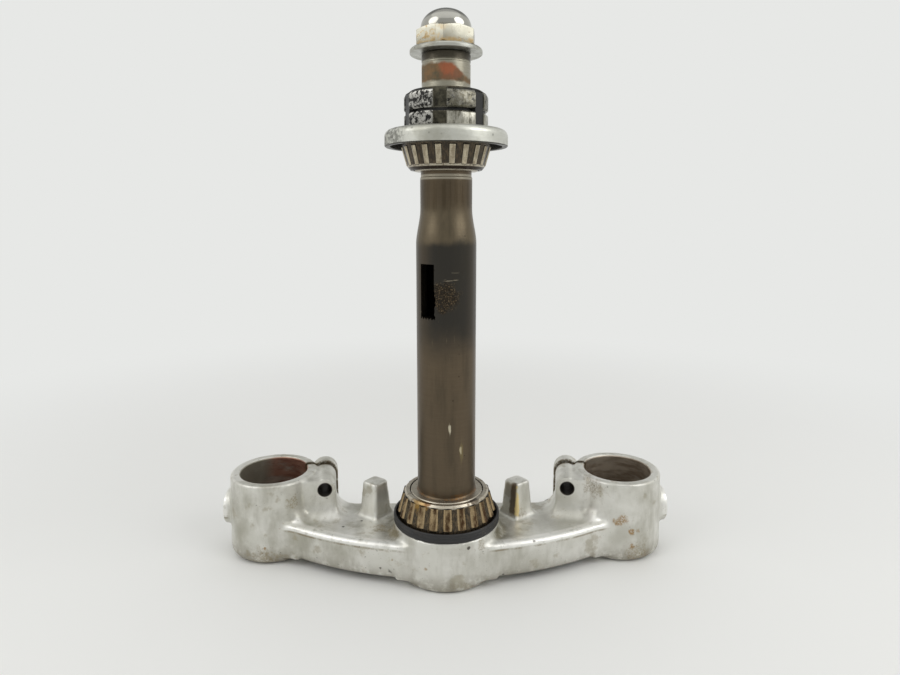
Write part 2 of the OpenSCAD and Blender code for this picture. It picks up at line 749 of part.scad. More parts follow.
// Domed hexagon nut on the stem's top thread
module stem_cap_nut() {
    corner_r = hex_af / sqrt(3) + 0.4;
    hex_top_z = cap_z + hex_h;
    dome_r = dome_d / 2;
    seat_r = hex_af / 2 + 0.3;
    shoulder_r = dome_r + 0.6;
    slope = 1.7;
    dome_foot = 1.5;
    color([0.78, 0.77, 0.74]) difference() {
        union() {
            intersection() {
                translate([0, 0, cap_z]) rotate([0, 0, -90 + hex_turn])
                    cylinder(h = hex_h, r = hex_af / sqrt(3), $fn = 6);
                rotate_extrude()
                    polygon([[0, cap_z - 1], [seat_r - slope, cap_z - 1],
                             [corner_r, cap_z + (corner_r - seat_r) / slope],
                             [corner_r, hex_top_z - (corner_r - shoulder_r) / slope],
                             [shoulder_r - slope, hex_top_z + 1], [0, hex_top_z + 1]]);
            }
            rotate_extrude()
                polygon(concat([[0, cap_z + 1], [dome_r, cap_z + 1]],
                    [for (i = [0:2 * arc_steps]) let (t = 90 * i / (2 * arc_steps))
                        [dome_r * cos(t), hex_top_z + dome_foot + (dome_h - dome_foot) * sin(t)]]));
        }
        translate([0, 0, cap_z - 1]) cylinder(h = cap_thread_len + 2, d = cap_thread_d);
    }
}

lower_bridge();
steering_stem();
lower_dust_seal();
lower_bearing_cone();
lower_bearing_cage();
for (i = [1:lower_roller_count])
    lower_roller(i);
upper_bearing_cone();
upper_bearing_cage();
for (i = [1:upper_roller_count])
    upper_roller(i);
upper_dust_cover();
adjusting_nut();
lock_washer();
lock_nut();
stem_washer();
stem_cap_nut();
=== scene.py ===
"""Looks of a motorcycle triple clamp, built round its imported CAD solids."""

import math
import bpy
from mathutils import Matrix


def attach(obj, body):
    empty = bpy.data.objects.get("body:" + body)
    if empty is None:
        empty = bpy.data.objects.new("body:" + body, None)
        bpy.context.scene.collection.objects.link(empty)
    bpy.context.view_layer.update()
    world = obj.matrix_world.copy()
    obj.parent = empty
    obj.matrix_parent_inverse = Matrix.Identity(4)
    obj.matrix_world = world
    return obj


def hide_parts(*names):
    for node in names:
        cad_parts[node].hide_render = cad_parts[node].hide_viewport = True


bl_info = {
    "name": "Triple clamp",
    "version": (1, 0, 0),
    "blender": (4, 5, 0),
    "location": "View3D > Sidebar > Triple clamp",
    "description": "Builds the detailed pieces, finishes and studio of a motorcycle triple clamp",
    "category": "Object",
}

import bpy
from bpy.props import FloatProperty, FloatVectorProperty, IntProperty, PointerProperty
from mathutils import Matrix, Vector

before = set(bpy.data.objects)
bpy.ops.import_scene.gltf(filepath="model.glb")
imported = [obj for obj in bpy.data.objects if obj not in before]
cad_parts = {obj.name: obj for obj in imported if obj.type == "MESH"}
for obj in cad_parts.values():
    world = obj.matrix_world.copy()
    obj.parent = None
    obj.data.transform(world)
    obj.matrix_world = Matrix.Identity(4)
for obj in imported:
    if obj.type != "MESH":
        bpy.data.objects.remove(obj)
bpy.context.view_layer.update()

# Sizes of the solids, in metres, as in the part's source.
FORK = Vector((0.109, 0.0275, 0.0))
RING_TOP_R = 0.0263
RING_FOOT_R = 0.0273
RING_H = 0.0495
BORE_R = 0.0205
FOOT_ROUND = 0.005
PINCH = Vector((0.079, 0.0385, 0.0418))
PINCH_TURN = math.radians(10)
PINCH_HOLE_R = 0.00425
PINCH_DRILL_R = 0.0034
REAR_EAR_T = 0.025
FRONT_EAR_T = 0.013
REAR_EAR_R = 0.007
SLIT_W = 0.0025
SEAT_R = 0.0312
SEAT_H = 0.0305
PRESS_R = 0.018
ARM_FLOOR = 0.004
ARM_CREST = 0.0255
SWEEP_R = 0.184
SWEEP_Y = 0.159
SIDE_FACE_X = 0.139
STOP_REACH = 0.048
STOP_TURN = math.radians(23)
ARM_TOP = 0.024
SIDE_H = 0.026
SIDE_THREAD_R = 0.0034
STEM_R = 0.0169
NECK_R = 0.0144
PIN_R = 0.0132
LOCK_H = 0.168
LOCK_W = 0.0095
LOCK_LEN = 0.030
LOCK_TURN = math.radians(40)
LOWER_SEAT_R = 0.0175
LOWER_FRONT_Z = 0.0495
LOWER_WINDOWS = (0.0300, 0.0478)
UPPER_WINDOWS = (0.2360, 0.2500)
TAPER_Z = 0.196
TAPER_LEN = 0.016
STEP_Z = 0.230
UPPER_BACK_Z = 0.249
COVER_TOP_Z = 0.255
ADJUST_TOP_Z = 0.2628
LOCK_BASE_Z = 0.2644
LOCK_TOP_Z = 0.275
SHOULDER_Z = 0.2947
CAP_Z = 0.2973
STEM_TOP_Z = 0.3108
STEM_BORE_R = 0.01225
TOP_BORE_R = 0.009
BORE_STEP_Z = 0.192
UPPER_SEAT_R = 0.014
THREAD_R = 0.012
PIN_GROOVE_Z = 0.2892
PIN_GROOVE_D = 0.00035
COVER_R = 0.0337
COVER_RIM_Z = 0.246
WASHER_R = 0.0196
NUT_R = 0.02285
NUT_BORE_R = 0.0139
NUT_CHAMFER = 0.0009
SLOT_W = 0.0074
SLOT_DEPTH = 0.0028
SLOT_TURN = math.radians(-9)

# The steering stops as the photograph shows them: corner on to the camera, and shorter than the solid's.
STOP_OWN_TURN = math.radians(15)
STOP_H = 0.0458
STOP_TOP_W = 0.0116
STOP_FOOT_W = 0.0152
STOP_BEVEL = 0.0010
STOP_ROUND = 0.0020
STOP_FLARE = 0.0035
# Fillets on top of the arms, at the clamp ring, at the ear and at the boss.
RING_FLARE = 0.012
EAR_FLARE = 0.0105
BOSS_FLARE = 0.0055
# The hollow in plan between an arm and the boss, and how far ahead the arms' fillets reach.
BOSS_WEB_R = 0.055
ARM_FRONT = 0.032
# Where the casting's corners are softened: place on the right side and reach.
SOFT_CORNERS = ((Vector((0.0855, 0.0125, 0.031)), 0.017), (Vector((0.097, 0.003, 0.0240)), 0.011),
                (Vector((0.028, -0.021, 0.0245)), 0.010))
# Where the filler of a ring's slit ends, seen from the pinch bolt's axis.
EAR_FILL_FOOT = -0.0378
# The cap nut, with a taller hexagon than the solid's.
HEX_H = 0.0100
HEX_HALF = 0.015
DOME_R = 0.0137
DOME_RISE = 0.0107
# The studio's lamps: name, setting that holds the power, width and place.
LAMPS = (("left_light", "left", 0.85, (-0.85, -0.40, 0.85)),
         ("right_light", "right", 0.85, (0.85, -0.40, 0.80)),
         ("top_light", "top", 1.60, (0.0, -0.10, 1.25)))
# The direction of the studio's dark ceiling, and the mirror image of a piece.
CEILING = (0, 0.643, 0.766)
MIRROR = Matrix.Scale(-1, 4, (1, 0, 0))


# Modelling

def deselect():
    """Leaves edit mode and selects nothing."""
    if bpy.context.object and bpy.context.object.mode != "OBJECT":
        bpy.ops.object.mode_set(mode="OBJECT")
    bpy.ops.object.select_all(action="DESELECT")


def pick(obj):
    """Selects obj alone and makes it active."""
    deselect()
    obj.select_set(True)
    bpy.context.view_layer.objects.active = obj
    return obj


def edit(obj, *steps):
    """Runs edit mode steps on the whole of obj."""
    pick(obj)
    bpy.ops.object.mode_set(mode="EDIT")
    bpy.ops.mesh.select_all(action="SELECT")
    for step in steps:
        step()
    bpy.ops.object.mode_set(mode="OBJECT")
    return obj


def tidy_mesh(obj):
    """Merges doubles and turns all faces outwards."""
    return edit(obj, lambda: bpy.ops.mesh.remove_doubles(threshold=1e-6),
                lambda: bpy.ops.mesh.normals_make_consistent(inside=False))


def modify(obj, kind, **settings):
    """Adds a modifier and applies it."""
    pick(obj)
    modifier = obj.modifiers.new(kind.title(), kind)
    for key, value in settings.items():
        setattr(modifier, key, value)
    bpy.ops.object.modifier_apply(modifier=modifier.name)
    return obj


def fix_place(obj):
    """Writes an object's place into its mesh."""
    pick(obj)
    bpy.ops.object.transform_apply(location=True, rotation=True, scale=True)
    return obj


def smooth(obj, angle=30):
    """Smooth shading, except over edges sharper than an angle in degrees."""
    pick(obj)
    bpy.ops.object.shade_smooth_by_angle(angle=math.radians(angle))
    return obj


def arc(cx, cz, r, start, end, steps):
    """Points of an arc in the profile plane, angles in degrees."""
    return [(cx + r * math.cos(math.radians(start + (end - start) * i / steps)),
             cz + r * math.sin(math.radians(start + (end - start) * i / steps))) for i in range(steps + 1)]


def linked(name, data):
    """A new object in the scene."""
    obj = bpy.data.objects.new(name, data)
    bpy.context.scene.collection.objects.link(obj)
    return obj


def from_points(name, points, edges, faces):
    """A new mesh object from its points, edges and faces."""
    mesh = bpy.data.meshes.new(name)
    mesh.from_pydata(points, edges, faces)
    return linked(name, mesh)


def turned(name, profile, steps=96, closed=True):
    """A turned piece: the profile's points (radius, height) are spun round the Z axis."""
    points = [(r, 0.0, z) for r, z in profile]
    edges = [(i, i + 1) for i in range(len(points) - 1)]
    if closed:
        edges.append((len(points) - 1, 0))
    obj = from_points(name, points, edges, [])
    edit(obj, lambda: bpy.ops.mesh.spin(steps=steps, angle=2 * math.pi, center=(0, 0, 0), axis=(0, 0, 1)))
    return tidy_mesh(obj)


def drum(name, radius, low, high, place=(0, 0), steps=64):
    """A round plug or cutter standing between two heights."""
    deselect()
    bpy.ops.mesh.primitive_cylinder_add(vertices=steps, radius=radius, depth=high - low,
                                        location=(place[0], place[1], (low + high) / 2))
    obj = bpy.context.object
    obj.name = name
    return fix_place(obj)


def block(name, low, high):
    """A box between two corners."""
    deselect()
    size = Vector(high) - Vector(low)
    bpy.ops.mesh.primitive_cube_add(size=1, location=(Vector(low) + Vector(high)) / 2, scale=size)
    obj = bpy.context.object
    obj.name = name
    return fix_place(obj)


def prism(name, outline, low, high):
    """An outline (x, y) filled and extruded between two heights."""
    obj = from_points(name, [(x, y, low) for x, y in outline], [], [list(range(len(outline)))])
    edit(obj, lambda: bpy.ops.mesh.extrude_region_move(TRANSFORM_OT_translate={"value": (0, 0, high - low)}))
    return tidy_mesh(obj)


def fillet_foot(name, half_x, half_y, size, low):
    """The hollow fillet round the foot of a rectangular upstand, as outlines stacked and joined."""
    steps = [math.radians(90 * i / 8) for i in range(9)]
    grow_and_height = [(size, low - 0.001)]
    grow_and_height += [(size * (1 - math.sin(a)) + 0.0001, low + size * (1 - math.cos(a))) for a in steps]
    per_corner = 6
    points = []
    for grow, z in grow_and_height:
        for x, y, start in ((half_x, half_y, 0), (-half_x, half_y, 90), (-half_x, -half_y, 180),
                            (half_x, -half_y, 270)):
            points += [(px, py, z) for px, py in arc(x, y, grow, start, start + 90, per_corner - 1)]
    count = 4 * per_corner
    faces = [list(range(count))[::-1], [len(points) - count + i for i in range(count)]]
    for row in range(len(grow_and_height) - 1):
        for i in range(count):
            here, ahead = row * count + i, row * count + (i + 1) % count
            faces.append([here, ahead, ahead + count, here + count])
    return tidy_mesh(from_points(name, points, [], faces))


def place(obj, matrix):
    """Moves an object's mesh by a matrix."""
    obj.data.transform(matrix)
    if matrix.determinant() < 0:
        obj.data.flip_normals()
    return obj


def join(pieces, name):
    """Joins several objects into the first."""
    deselect()
    for piece in pieces:
        piece.select_set(True)
    bpy.context.view_layer.objects.active = pieces[0]
    bpy.ops.object.join()
    pieces[0].name = name
    return pieces[0]


def bevel_where(obj, chosen, width, segments):
    """Bevels the edges that chosen picks by their two ends."""
    pick(obj)
    bpy.ops.object.mode_set(mode="EDIT")
    bpy.ops.mesh.select_mode(type="EDGE")
    bpy.ops.mesh.select_all(action="DESELECT")
    bpy.ops.object.mode_set(mode="OBJECT")
    for line in obj.data.edges:
        line.select = chosen(*(obj.data.vertices[i].co for i in line.vertices))
    bpy.ops.object.mode_set(mode="EDIT")
    bpy.ops.mesh.bevel(offset=width, segments=segments)
    bpy.ops.mesh.select_mode(type="VERT")
    bpy.ops.object.mode_set(mode="OBJECT")


def combine(obj, other, how="DIFFERENCE"):
    """Cuts other out of obj, or melts it in, and deletes it."""
    modify(obj, "BOOLEAN", object=other, operation=how, solver="EXACT")
    bpy.data.objects.remove(other, do_unlink=True)
    return obj


def clear_slivers(obj):
    """Takes out faces without an area and faces that lie back to back, which cuts can leave behind."""
    edit(obj, lambda: bpy.ops.mesh.remove_doubles(threshold=2e-6),
         lambda: bpy.ops.mesh.dissolve_degenerate(threshold=2e-6),
         lambda: bpy.ops.mesh.select_all(action="DESELECT"),
         lambda: bpy.ops.mesh.select_face_by_sides(number=4, type="GREATER"),
         lambda: bpy.ops.mesh.quads_convert_to_tris())
    held = {}
    for face in obj.data.polygons:
        held.setdefault(frozenset(face.vertices), []).append(face.index)
    twins = {index for same in held.values() if len(same) > 1 for index in same}
    bpy.ops.object.mode_set(mode="EDIT")
    bpy.ops.mesh.select_mode(type="FACE")
    bpy.ops.mesh.select_all(action="DESELECT")
    bpy.ops.object.mode_set(mode="OBJECT")
    for face in obj.data.polygons:
        face.select = face.index in twins
    bpy.ops.object.mode_set(mode="EDIT")
    bpy.ops.mesh.delete(type="FACE")
    bpy.ops.mesh.select_mode(type="VERT")
    bpy.ops.object.mode_set(mode="OBJECT")
    return obj


def copy_of(node, name):
    """A merged copy of a CAD node's mesh."""
    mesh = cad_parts[node].data.copy()
    mesh.materials.clear()
    return edit(linked(name, mesh), lambda: bpy.ops.mesh.remove_doubles(threshold=1e-6))


def stand_in(obj, node, body, material):
    """Makes a finished piece stand for a CAD node."""
    obj.data.materials.clear()
    obj.data.materials.append(material)
    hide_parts(node)
    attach(obj, body)
    return obj


def dress(node, material):
    """Gives a CAD node its finish."""
    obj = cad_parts[node]
    obj.data.materials.clear()
    obj.data.materials.append(material)


# Finishes

def tone(red, green, blue):
    """A colour picked as 0 to 255 on screen, as the shader needs it."""
    def linear(c):
        c = c / 255
        return c / 12.92 if c <= 0.04045 else ((c + 0.055) / 1.055) ** 2.4
    return (linear(red), linear(green), linear(blue), 1.0)


def feed(tree, node, feeds):
    """Feeds a node's inputs with values or with other nodes' sockets."""
    for key, value in feeds.items():
        if isinstance(value, bpy.types.NodeSocket):
            tree.links.new(value, node.inputs[key])
        else:
            node.inputs[key].default_value = value


def put(tree, kind, feeds=None, **settings):
    """A node with its settings and its feeds."""
    made = tree.nodes.new("ShaderNode" + kind)
    for key, value in settings.items():
        setattr(made, key, value)
    feed(tree, made, feeds or {})
    return made


def mix(tree, factor, a, b, how="MIX"):
    """Mixes two colours."""
    made = put(tree, "Mix", {0: factor, 6: a, 7: b}, data_type="RGBA", blend_type=how)
    return made.outputs[2]


def calc(tree, how, a, b=0.5, clamp=False):
    """One sum with one or two values."""
    return put(tree, "Math", {0: a, 1: b}, operation=how, use_clamp=clamp).outputs[0]


def times(tree, a, b, clamp=False):
    """The product of two values."""
    return calc(tree, "MULTIPLY", a, b, clamp=clamp)


def plus(tree, a, b, clamp=False):
    """The sum of two values."""
    return calc(tree, "ADD", a, b, clamp=clamp)


def minus(tree, a, b, clamp=False):
    """The first value less the second."""
    return calc(tree, "SUBTRACT", a, b, clamp=clamp)


def most(tree, a, b):
    """The larger of two masks."""
    return calc(tree, "MAXIMUM", a, b)


def lay(tree, under, mask, share, over):
    """Lays a colour over another, as far as its mask and its share say."""
    return mix(tree, times(tree, mask, share), under, over)


def vectors(tree, how, a, b=None):
    """One sum with vectors."""
    made = put(tree, "VectorMath", {0: a} if b is None else {0: a, 1: b}, operation=how)
    return made.outputs["Value" if how in ("LENGTH", "DISTANCE", "DOT_PRODUCT") else "Vector"]


def axes_of(tree, vector):
    """The three parts of a vector."""
    return put(tree, "SeparateXYZ", {0: vector}).outputs


def remap(tree, value, low, high, to_low=0.0, to_high=1.0):
    """A soft step between two values."""
    return put(tree, "MapRange", {0: value, 1: low, 2: high, 3: to_low, 4: to_high},
               interpolation_type="SMOOTHSTEP").outputs[0]


def group(name, inputs):
    """A new shader node group that gives a mask, or None and the group if it is there already."""
    if name in bpy.data.node_groups:
        return None, None, bpy.data.node_groups[name]
    made = bpy.data.node_groups.new(name, "ShaderNodeTree")
    for label, kind, value in inputs:
        socket = made.interface.new_socket(label, in_out="INPUT", socket_type="NodeSocket" + kind)
        if value is not None:
            socket.default_value = value
    made.interface.new_socket("Mask", in_out="OUTPUT", socket_type="NodeSocketFloat")
    start = made.nodes.new("NodeGroupInput")
    end = made.nodes.new("NodeGroupOutput")
    return start.outputs, end.inputs, made


def patches_group():
    """Cloudy patches that cover a share of the surface."""
    start, end, made = group("Patches", [("Vector", "Vector", None), ("Scale", "Float", 100.0),
                                         ("Cover", "Float", 0.4), ("Softness", "Float", 0.1),
                                         ("Detail", "Float", 5.0), ("Roughness", "Float", 0.6)])
    if start:
        noise = put(made, "TexNoise", {"Vector": start["Vector"], "Scale": start["Scale"],
                                       "Detail": start["Detail"], "Roughness": start["Roughness"]})
        edge = minus(made, 0.82, times(made, start["Cover"], 0.62))
        mask = remap(made, noise.outputs[0], minus(made, edge, start["Softness"]),
                     plus(made, edge, start["Softness"]))
        made.links.new(mask, end["Mask"])
    return made


def spot_group():
    """One ragged spot round a point."""
    start, end, made = group("Spot", [("Vector", "Vector", None), ("Centre", "Vector", None),
                                      ("Size", "Float", 0.003), ("Ragged", "Float", 0.002),
                                      ("Scale", "Float", 400.0)])
    if start:
        noise = put(made, "TexNoise", {"Vector": start["Vector"], "Scale": start["Scale"], "Detail": 4.0})
        far = vectors(made, "DISTANCE", start["Vector"], start["Centre"])
        bent = plus(made, far,
                    times(made, minus(made, noise.outputs[0], 0.5), times(made, start["Ragged"], 4.0)))
        mask = remap(made, bent, start["Size"], times(made, start["Size"], 0.45))
        made.links.new(mask, end["Mask"])
    return made


def band_group():
    """A band between two heights, with a wavy edge."""
    start, end, made = group("Band",
                             [("Vector", "Vector", None), ("Low", "Float", 0.0), ("High", "Float", 0.1),
                              ("Soft", "Float", 0.002), ("Wave", "Float", 0.001), ("Scale", "Float", 80.0)])
    if start:
        height = axes_of(made, start["Vector"])[2]
        noise = put(made, "TexNoise", {"Vector": start["Vector"], "Scale": start["Scale"], "Detail": 4.0})
        wavy = plus(made, height,
                    times(made, minus(made, noise.outputs[0], 0.5), times(made, start["Wave"], 3.0)))
        rise = remap(made, wavy, minus(made, start["Low"], start["Soft"]),
                     plus(made, start["Low"], start["Soft"]))
        fall = remap(made, wavy, plus(made, start["High"], start["Soft"]),
                     minus(made, start["High"], start["Soft"]))
        made.links.new(times(made, rise, fall), end["Mask"])
    return made


def worn_edge_group():
    """Outer edges, broken up by noise."""
    start, end, made = group("Worn edge", [("Vector", "Vector", None), ("Width", "Float", 0.0006),
                                           ("Amount", "Float", 1.0), ("Scale", "Float", 500.0)])
    if start:
        round_normal = made.nodes.new("ShaderNodeBevel")
        round_normal.samples = 4
        made.links.new(start["Width"], round_normal.inputs[0])
        plain_normal = made.nodes.new("ShaderNodeNewGeometry")
        same = vectors(made, "DOT_PRODUCT", round_normal.outputs[0], plain_normal.outputs["Normal"])
        noise = put(made, "TexNoise", {"Vector": start["Vector"], "Scale": start["Scale"], "Detail": 4.0})
        turn = minus(made, 1.0, same)
        mask = remap(made, turn, 0.03, 0.16)
        broken = remap(made, noise.outputs[0], 0.3, 0.6)
        made.links.new(times(made, times(made, mask, broken), start["Amount"], clamp=True),
                       end["Mask"])
    return made


def speckle_group():
    """Small scattered dots."""
    start, end, made = group("Speckle", [("Vector", "Vector", None), ("Scale", "Float", 300.0),
                                         ("Size", "Float", 0.2), ("Share", "Float", 0.2)])
    if start:
        cells = put(made, "TexVoronoi", {"Vector": start["Vector"], "Scale": start["Scale"]})
        dot = remap(made, cells.outputs["Distance"], start["Size"], times(made, start["Size"], 0.4))
        chance = put(made, "SeparateColor", {0: cells.outputs["Color"]}).outputs[0]
        chosen = calc(made, "LESS_THAN", chance, start["Share"])
        made.links.new(times(made, dot, chosen), end["Mask"])
    return made


def hollows_group(only_local):
    """Hollows within a distance: a piece's own, or those between pieces as well."""
    start, end, made = group("Own hollows" if only_local else "Hollows",
                             [("Distance", "Float", 0.003), ("Empty", "Float", 0.7),
                              ("Filled", "Float", 0.3)])
    if start:
        found = put(made, "AmbientOcclusion", {"Distance": start["Distance"]}, samples=6,
                    only_local=only_local)
        made.links.new(remap(made, found.outputs["AO"], start["Empty"], start["Filled"]), end["Mask"])
    return made


def use(tree, made, feeds):
    """Places a node group and gives its mask."""
    placed = tree.nodes.new("ShaderNodeGroup")
    placed.node_tree = made
    feed(tree, placed, feeds)
    return placed.outputs[0]


def patchy(tree, where, scale, cover, softness, detail=5.0, rough=0.6):
    """Cloudy patches that cover a share of the surface."""
    return use(tree, patches_group(), {"Vector": where, "Scale": scale, "Cover": cover, "Softness": softness,
                                       "Detail": detail, "Roughness": rough})


def spot_of(tree, where, centre, size, ragged, scale=400.0):
    """One ragged spot round a point."""
    return use(tree, spot_group(), {"Vector": where, "Centre": centre, "Size": size, "Ragged": ragged,
                                    "Scale": scale})


def spots(tree, where, places):
    """One mask for several ragged spots."""
    total = 0.0
    for centre, size, ragged in places:
        total = most(tree, spot_of(tree, where, centre, size, ragged), total)
    return total


def band_of(tree, where, low, high, soft, wave, scale=80.0):
    """A band between two heights, with a wavy edge."""
    return use(tree, band_group(), {"Vector": where, "Low": low, "High": high, "Soft": soft, "Wave": wave,
                                    "Scale": scale})


def worn_edges(tree, where, width, amount, scale):
    """Outer edges, broken up by noise."""
    return use(tree, worn_edge_group(), {"Vector": where, "Width": width, "Amount": amount, "Scale": scale})


def dots_of(tree, where, scale, size, share):
    """Small scattered dots."""
    return use(tree, speckle_group(), {"Vector": where, "Scale": scale, "Size": size, "Share": share})


def hollows(tree, distance, empty, filled, only_local=False):
    """A mask of the hollows that lie within a distance."""
    return use(tree, hollows_group(only_local), {"Distance": distance, "Empty": empty, "Filled": filled})


def new_finish(name, metallic, roughness):
    """A material with its shader, and the object coordinates that its patterns follow."""
    material = bpy.data.materials.new(name)
    material.use_nodes = True
    tree = material.node_tree
    shader = tree.nodes["Principled BSDF"]
    shader.inputs["Metallic"].default_value = metallic
    shader.inputs["Roughness"].default_value = roughness
    where = tree.nodes.new("ShaderNodeTexCoord").outputs["Object"]
    return material, tree, shader, where


def finish_with(tree, shader, colour, roughness=None, metallic=None, height=None, depth=0.0002, strength=1.0):
    """Feeds the shader."""
    tree.links.new(colour, shader.inputs["Base Color"])
    if roughness is not None:
        tree.links.new(roughness, shader.inputs["Roughness"])
    if metallic is not None:
        tree.links.new(metallic, shader.inputs["Metallic"])
    if height is not None:
        bump = put(tree, "Bump", {"Height": height, "Distance": depth, "Strength": strength})
        tree.links.new(bump.outputs[0], shader.inputs["Normal"])


def stretch(tree, where, scale):
    """Object coordinates stretched along the axes, for grain with a direction."""
    return put(tree, "Mapping", {"Vector": where, "Scale": scale}).outputs[0]


def noise_of(tree, where, scale, detail=4.0, rough=0.55):
    """Cloudy noise between 0 and 1."""
    return put(tree, "TexNoise",
               {"Vector": where, "Scale": scale, "Detail": detail, "Roughness": rough}).outputs[0]


def around(tree, where, centre=(0, 0, 0)):
    """Distance from an upright axis."""
    return vectors(tree, "LENGTH", flat_of(tree, vectors(tree, "SUBTRACT", where, centre)))


def flat_of(tree, vector):
    """A vector without its height."""
    return vectors(tree, "MULTIPLY", vector, (1, 1, 0))


def ripple(tree, where, scale, detail, rough, size):
    """Noise about zero of a given size, for edges that waver."""
    return times(tree, minus(tree, noise_of(tree, where, scale, detail, rough), 0.5), size)


# Marks on the bridge that the photograph shows: centre, size and raggedness in metres.
RUST = (((-0.0965, 0.009, 0.026), 0.0032, 0.0012), ((0.1060, 0.001, 0.0275), 0.0040, 0.0013),
        ((0.1020, 0.002, 0.0262), 0.0026, 0.0012), ((0.1118, 0.001, 0.0198), 0.0024, 0.0012),
        ((0.1150, 0.002, 0.0202), 0.0021, 0.0012), ((0.1120, 0.001, 0.0110), 0.0020, 0.0010),
        ((-0.0990, 0.003, 0.0245), 0.0024, 0.0012), ((-0.1089, 0.0007, 0.0114), 0.0010, 0.0006),
        ((-0.0122, -0.0285, 0.0142), 0.0013, 0.0006), ((-0.0309, -0.0224, 0.0167), 0.0010, 0.0006))
STAINS = (((-0.0290, -0.0090, 0.0250), 0.0085, 0.0040), ((-0.0400, 0.0000, 0.0245), 0.0060, 0.0036),
          ((0.0880, 0.0080, 0.0440), 0.0075, 0.0036), ((-0.0930, 0.0060, 0.0370), 0.0050, 0.0030),
          ((-0.1100, 0.0010, 0.0040), 0.0090, 0.0050), ((0.1150, 0.0014, 0.0050), 0.0090, 0.0050),
          ((0.0700, 0.0300, 0.0255), 0.0050, 0.0030), ((0.0200, -0.0260, 0.0260), 0.0040, 0.0030),
          ((0.0440, 0.0130, 0.0260), 0.0060, 0.0030), ((-0.0710, 0.0180, 0.0270), 0.0050, 0.0030))
PITS = (((-0.0620, 0.0016, 0.0240), 0.0012, 0.0002), ((0.0500, -0.0180, 0.0250), 0.0018, 0.0010),
        ((-0.0322, -0.0222, 0.0087), 0.0016, 0.0012), ((0.0655, 0.0330, 0.0240), 0.0018, 0.0010),
        ((0.0120, -0.0285, 0.0270), 0.0011, 0.0006), ((-0.0380, -0.0205, 0.0100), 0.0012, 0.0008))
# Streaks down the front of the right stop: place, width and colour, tar first and then yellow grease.
STOP_STREAKS = (((0.0408, 0.0118, 0), 0.0034, tone(84, 64, 34)),
                ((0.0434, 0.0098, 0), 0.0019, tone(226, 202, 138)))
# Pale nicks low on the stem, about six times as tall as wide: centre, half width and colour.
STEM_NICKS = (((0.0017, -0.0168, 0.0905), 0.00075, tone(190, 182, 160)),
              ((0.0084, -0.0147, 0.0765), 0.0014, tone(112, 100, 74)),
              ((0.0078, -0.0150, 0.0775), 0.0006, tone(176, 166, 138)))
NICK_SQUEEZE = 0.17
# Stains on the lower cage's flange: centre, size and colour.
LOWER_CAGE_MARKS = (((-0.0150, -0.0190, 0.0485), 0.0065, tone(150, 118, 62)),
                    ((-0.0105, -0.0200, 0.0492), 0.0032, tone(96, 62, 30)),
                    ((0.0150, -0.0170, 0.0490), 0.0040, tone(60, 46, 32)))


